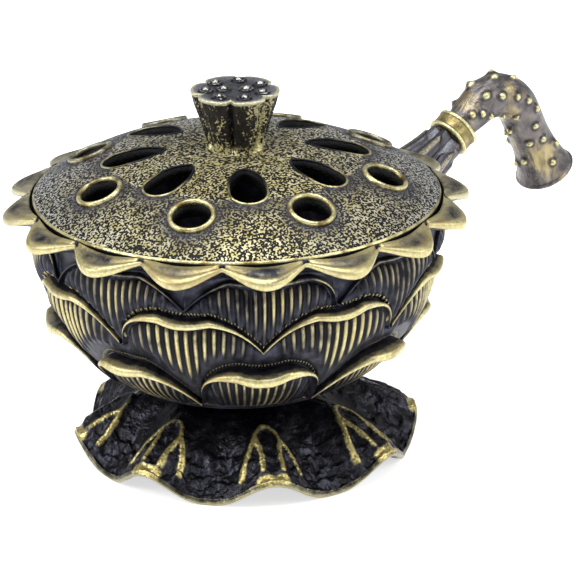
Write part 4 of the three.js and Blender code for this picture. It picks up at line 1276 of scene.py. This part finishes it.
# %% [markdown]
# The handle's metal is browner than the bowl's and worn by hands: pale on what stands out, brassy in patches, and
# darkest where each thorn and ridge starts. Neck, ferrule and stem differ only in their colours, so they share one
# finish with different values.

# %% Finish of the handle
def handle_finish(name, relief, metal, patches, bare=(GOLD, PALE)):
    """Worn brown metal: the raised parts pale, patches of brass, and dark where each raised part starts."""
    f = Finish(name)
    high = f.attribute(relief)
    grain, fine, broad = f.noise(0.45, 3), f.noise(2.2, 3), f.noise(0.12, 2)
    brushed = f.noise(0.9, 2, stretch=(0.3, 1.6, 0.3))
    patch = (broad + (grain - 0.5) * 0.35 + (brushed - 0.5) * 0.25).step(1.05 - patches, 1.3 - patches) * 0.8
    colour = f.blend((grain * 0.6 + brushed * 0.4).step(0.25, 0.75), *metal)
    colour = f.blend(patch, colour, f.blend(brushed.step(0.3, 0.7), rgb(128, 112, 78), rgb(176, 162, 116)))
    colour = f.blend(high.step(0.04, 0.2) * 0.6, colour, rgb(34, 32, 38))
    colour = f.blend((high * 1.2 + (fine - 0.5) * 0.3).step(0.4, 0.8), colour, f.blend(fine.step(0.3, 0.7), *bare))
    return f.wear(base_color=colour, metallic=0.75, roughness=0.36 + (fine - 0.5) * 0.15,
                  normal=f.bump(fine + grain * 0.5 + brushed, 0.12))


stem.data.materials.append(handle_finish("rubbed_stem", "bump", (rgb(62, 59, 64), rgb(122, 116, 112)), 0.62))
neck.data.materials.append(handle_finish("dark_neck", "ridge", (rgb(46, 47, 56), rgb(98, 97, 102)), 0.45,
                                         (rgb(84, 82, 80), rgb(140, 132, 108))))
ferrule.data.materials.append(handle_finish("golden_ferrule", "bead", (rgb(66, 54, 30), rgb(170, 156, 104)), 0.5))
boss.data.materials.append(bowl.data.materials[0])
for piece, node, slot in ((boss, "bowl", "antique_brass"), (stem, "stem", "dark_bronze"),
                          (neck, "neck", "dark_bronze"), (ferrule, "ferrule", "rubbed_brass")):
    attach(piece, "base")
    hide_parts(node)
print("handle finished")

# %% [markdown]
# ## The hidden screws
# Screws, washers and the stud come from the model as they are. They are small, plain and seldom seen, so their shape
# stays, and only their material is new: zinc-plated steel, slightly uneven as plating is.

# %% Hidden screws
def steel_finish():
    f = Finish("zinc_plated_steel")
    fine = f.noise(1.5, 2)
    return f.wear(base_color=f.blend(fine, rgb(150, 150, 148), rgb(180, 180, 176)), metallic=1.0,
                  roughness=0.3 + fine * 0.15)


STEEL_PIECES = ("foot_washer", "foot_screw", "knob_washer", "knob_screw", "neck_washer", "neck_screw", "joining_stud")
steel = steel_finish()
for name in STEEL_PIECES:
    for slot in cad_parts[name].material_slots:
        slot.material = steel
print("steel pieces:", len(STEEL_PIECES))

# %% [markdown]
# ## The stage
# The photo has a white ground with hardly a shadow. More light on the object would give that too, but would wash out
# its dark metal. So the floor glows by itself, only for the camera and for what the metal mirrors, under one large
# lamp overhead and a soft one on each side.

# %% Stage
FLOOR_GLOW, ROOM_LIGHT = 0.65, 0.44
LAMP_AIM = Vector((0, 0, 0.04))


def floor_finish():
    """Pale for the light that it sends back, and white for the camera and for what the metal mirrors."""
    f = Finish("pale_floor")
    seen = f.add("ShaderNodeLightPath", output="Is Camera Ray")
    for ray in ("Is Glossy Ray", "Is Transmission Ray"):
        seen = seen.math("MAXIMUM", f.add("ShaderNodeLightPath", output=ray))
    return f.wear(base_color=rgb(236, 236, 236), roughness=0.9, emission_strength=1.0,
                  emission_color=f.blend(seen, (0, 0, 0, 1), (FLOOR_GLOW, FLOOR_GLOW, FLOOR_GLOW, 1)))


def lamp(name, at, size, watts):
    bpy.ops.object.light_add(type="AREA", location=at)
    light = bpy.context.object
    light.name = name
    light.data.shape = "DISK"
    light.data.size = size
    light.data.energy = watts
    light.rotation_euler = (LAMP_AIM - Vector(at)).to_track_quat("-Z", "Y").to_euler()


bpy.ops.mesh.primitive_plane_add(size=6, location=(0, 0, 0))
floor = bpy.context.object
floor.name = "floor"
floor.data.materials.append(floor_finish())

world = bpy.data.worlds.new("studio")
bpy.context.scene.world = world
world.use_nodes = True
world.node_tree.nodes["Background"].inputs["Color"].default_value = (1, 1, 1, 1)
world.node_tree.nodes["Background"].inputs["Strength"].default_value = ROOM_LIGHT

lamp("overhead", (-0.15, -0.15, 1.1), 0.8, 13)
lamp("left", (-0.75, 0.3, 0.55), 0.5, 5)
lamp("right", (0.5, -0.75, 0.55), 0.7, 5)
bpy.context.scene.view_settings.view_transform = "Standard"
print("stage set")
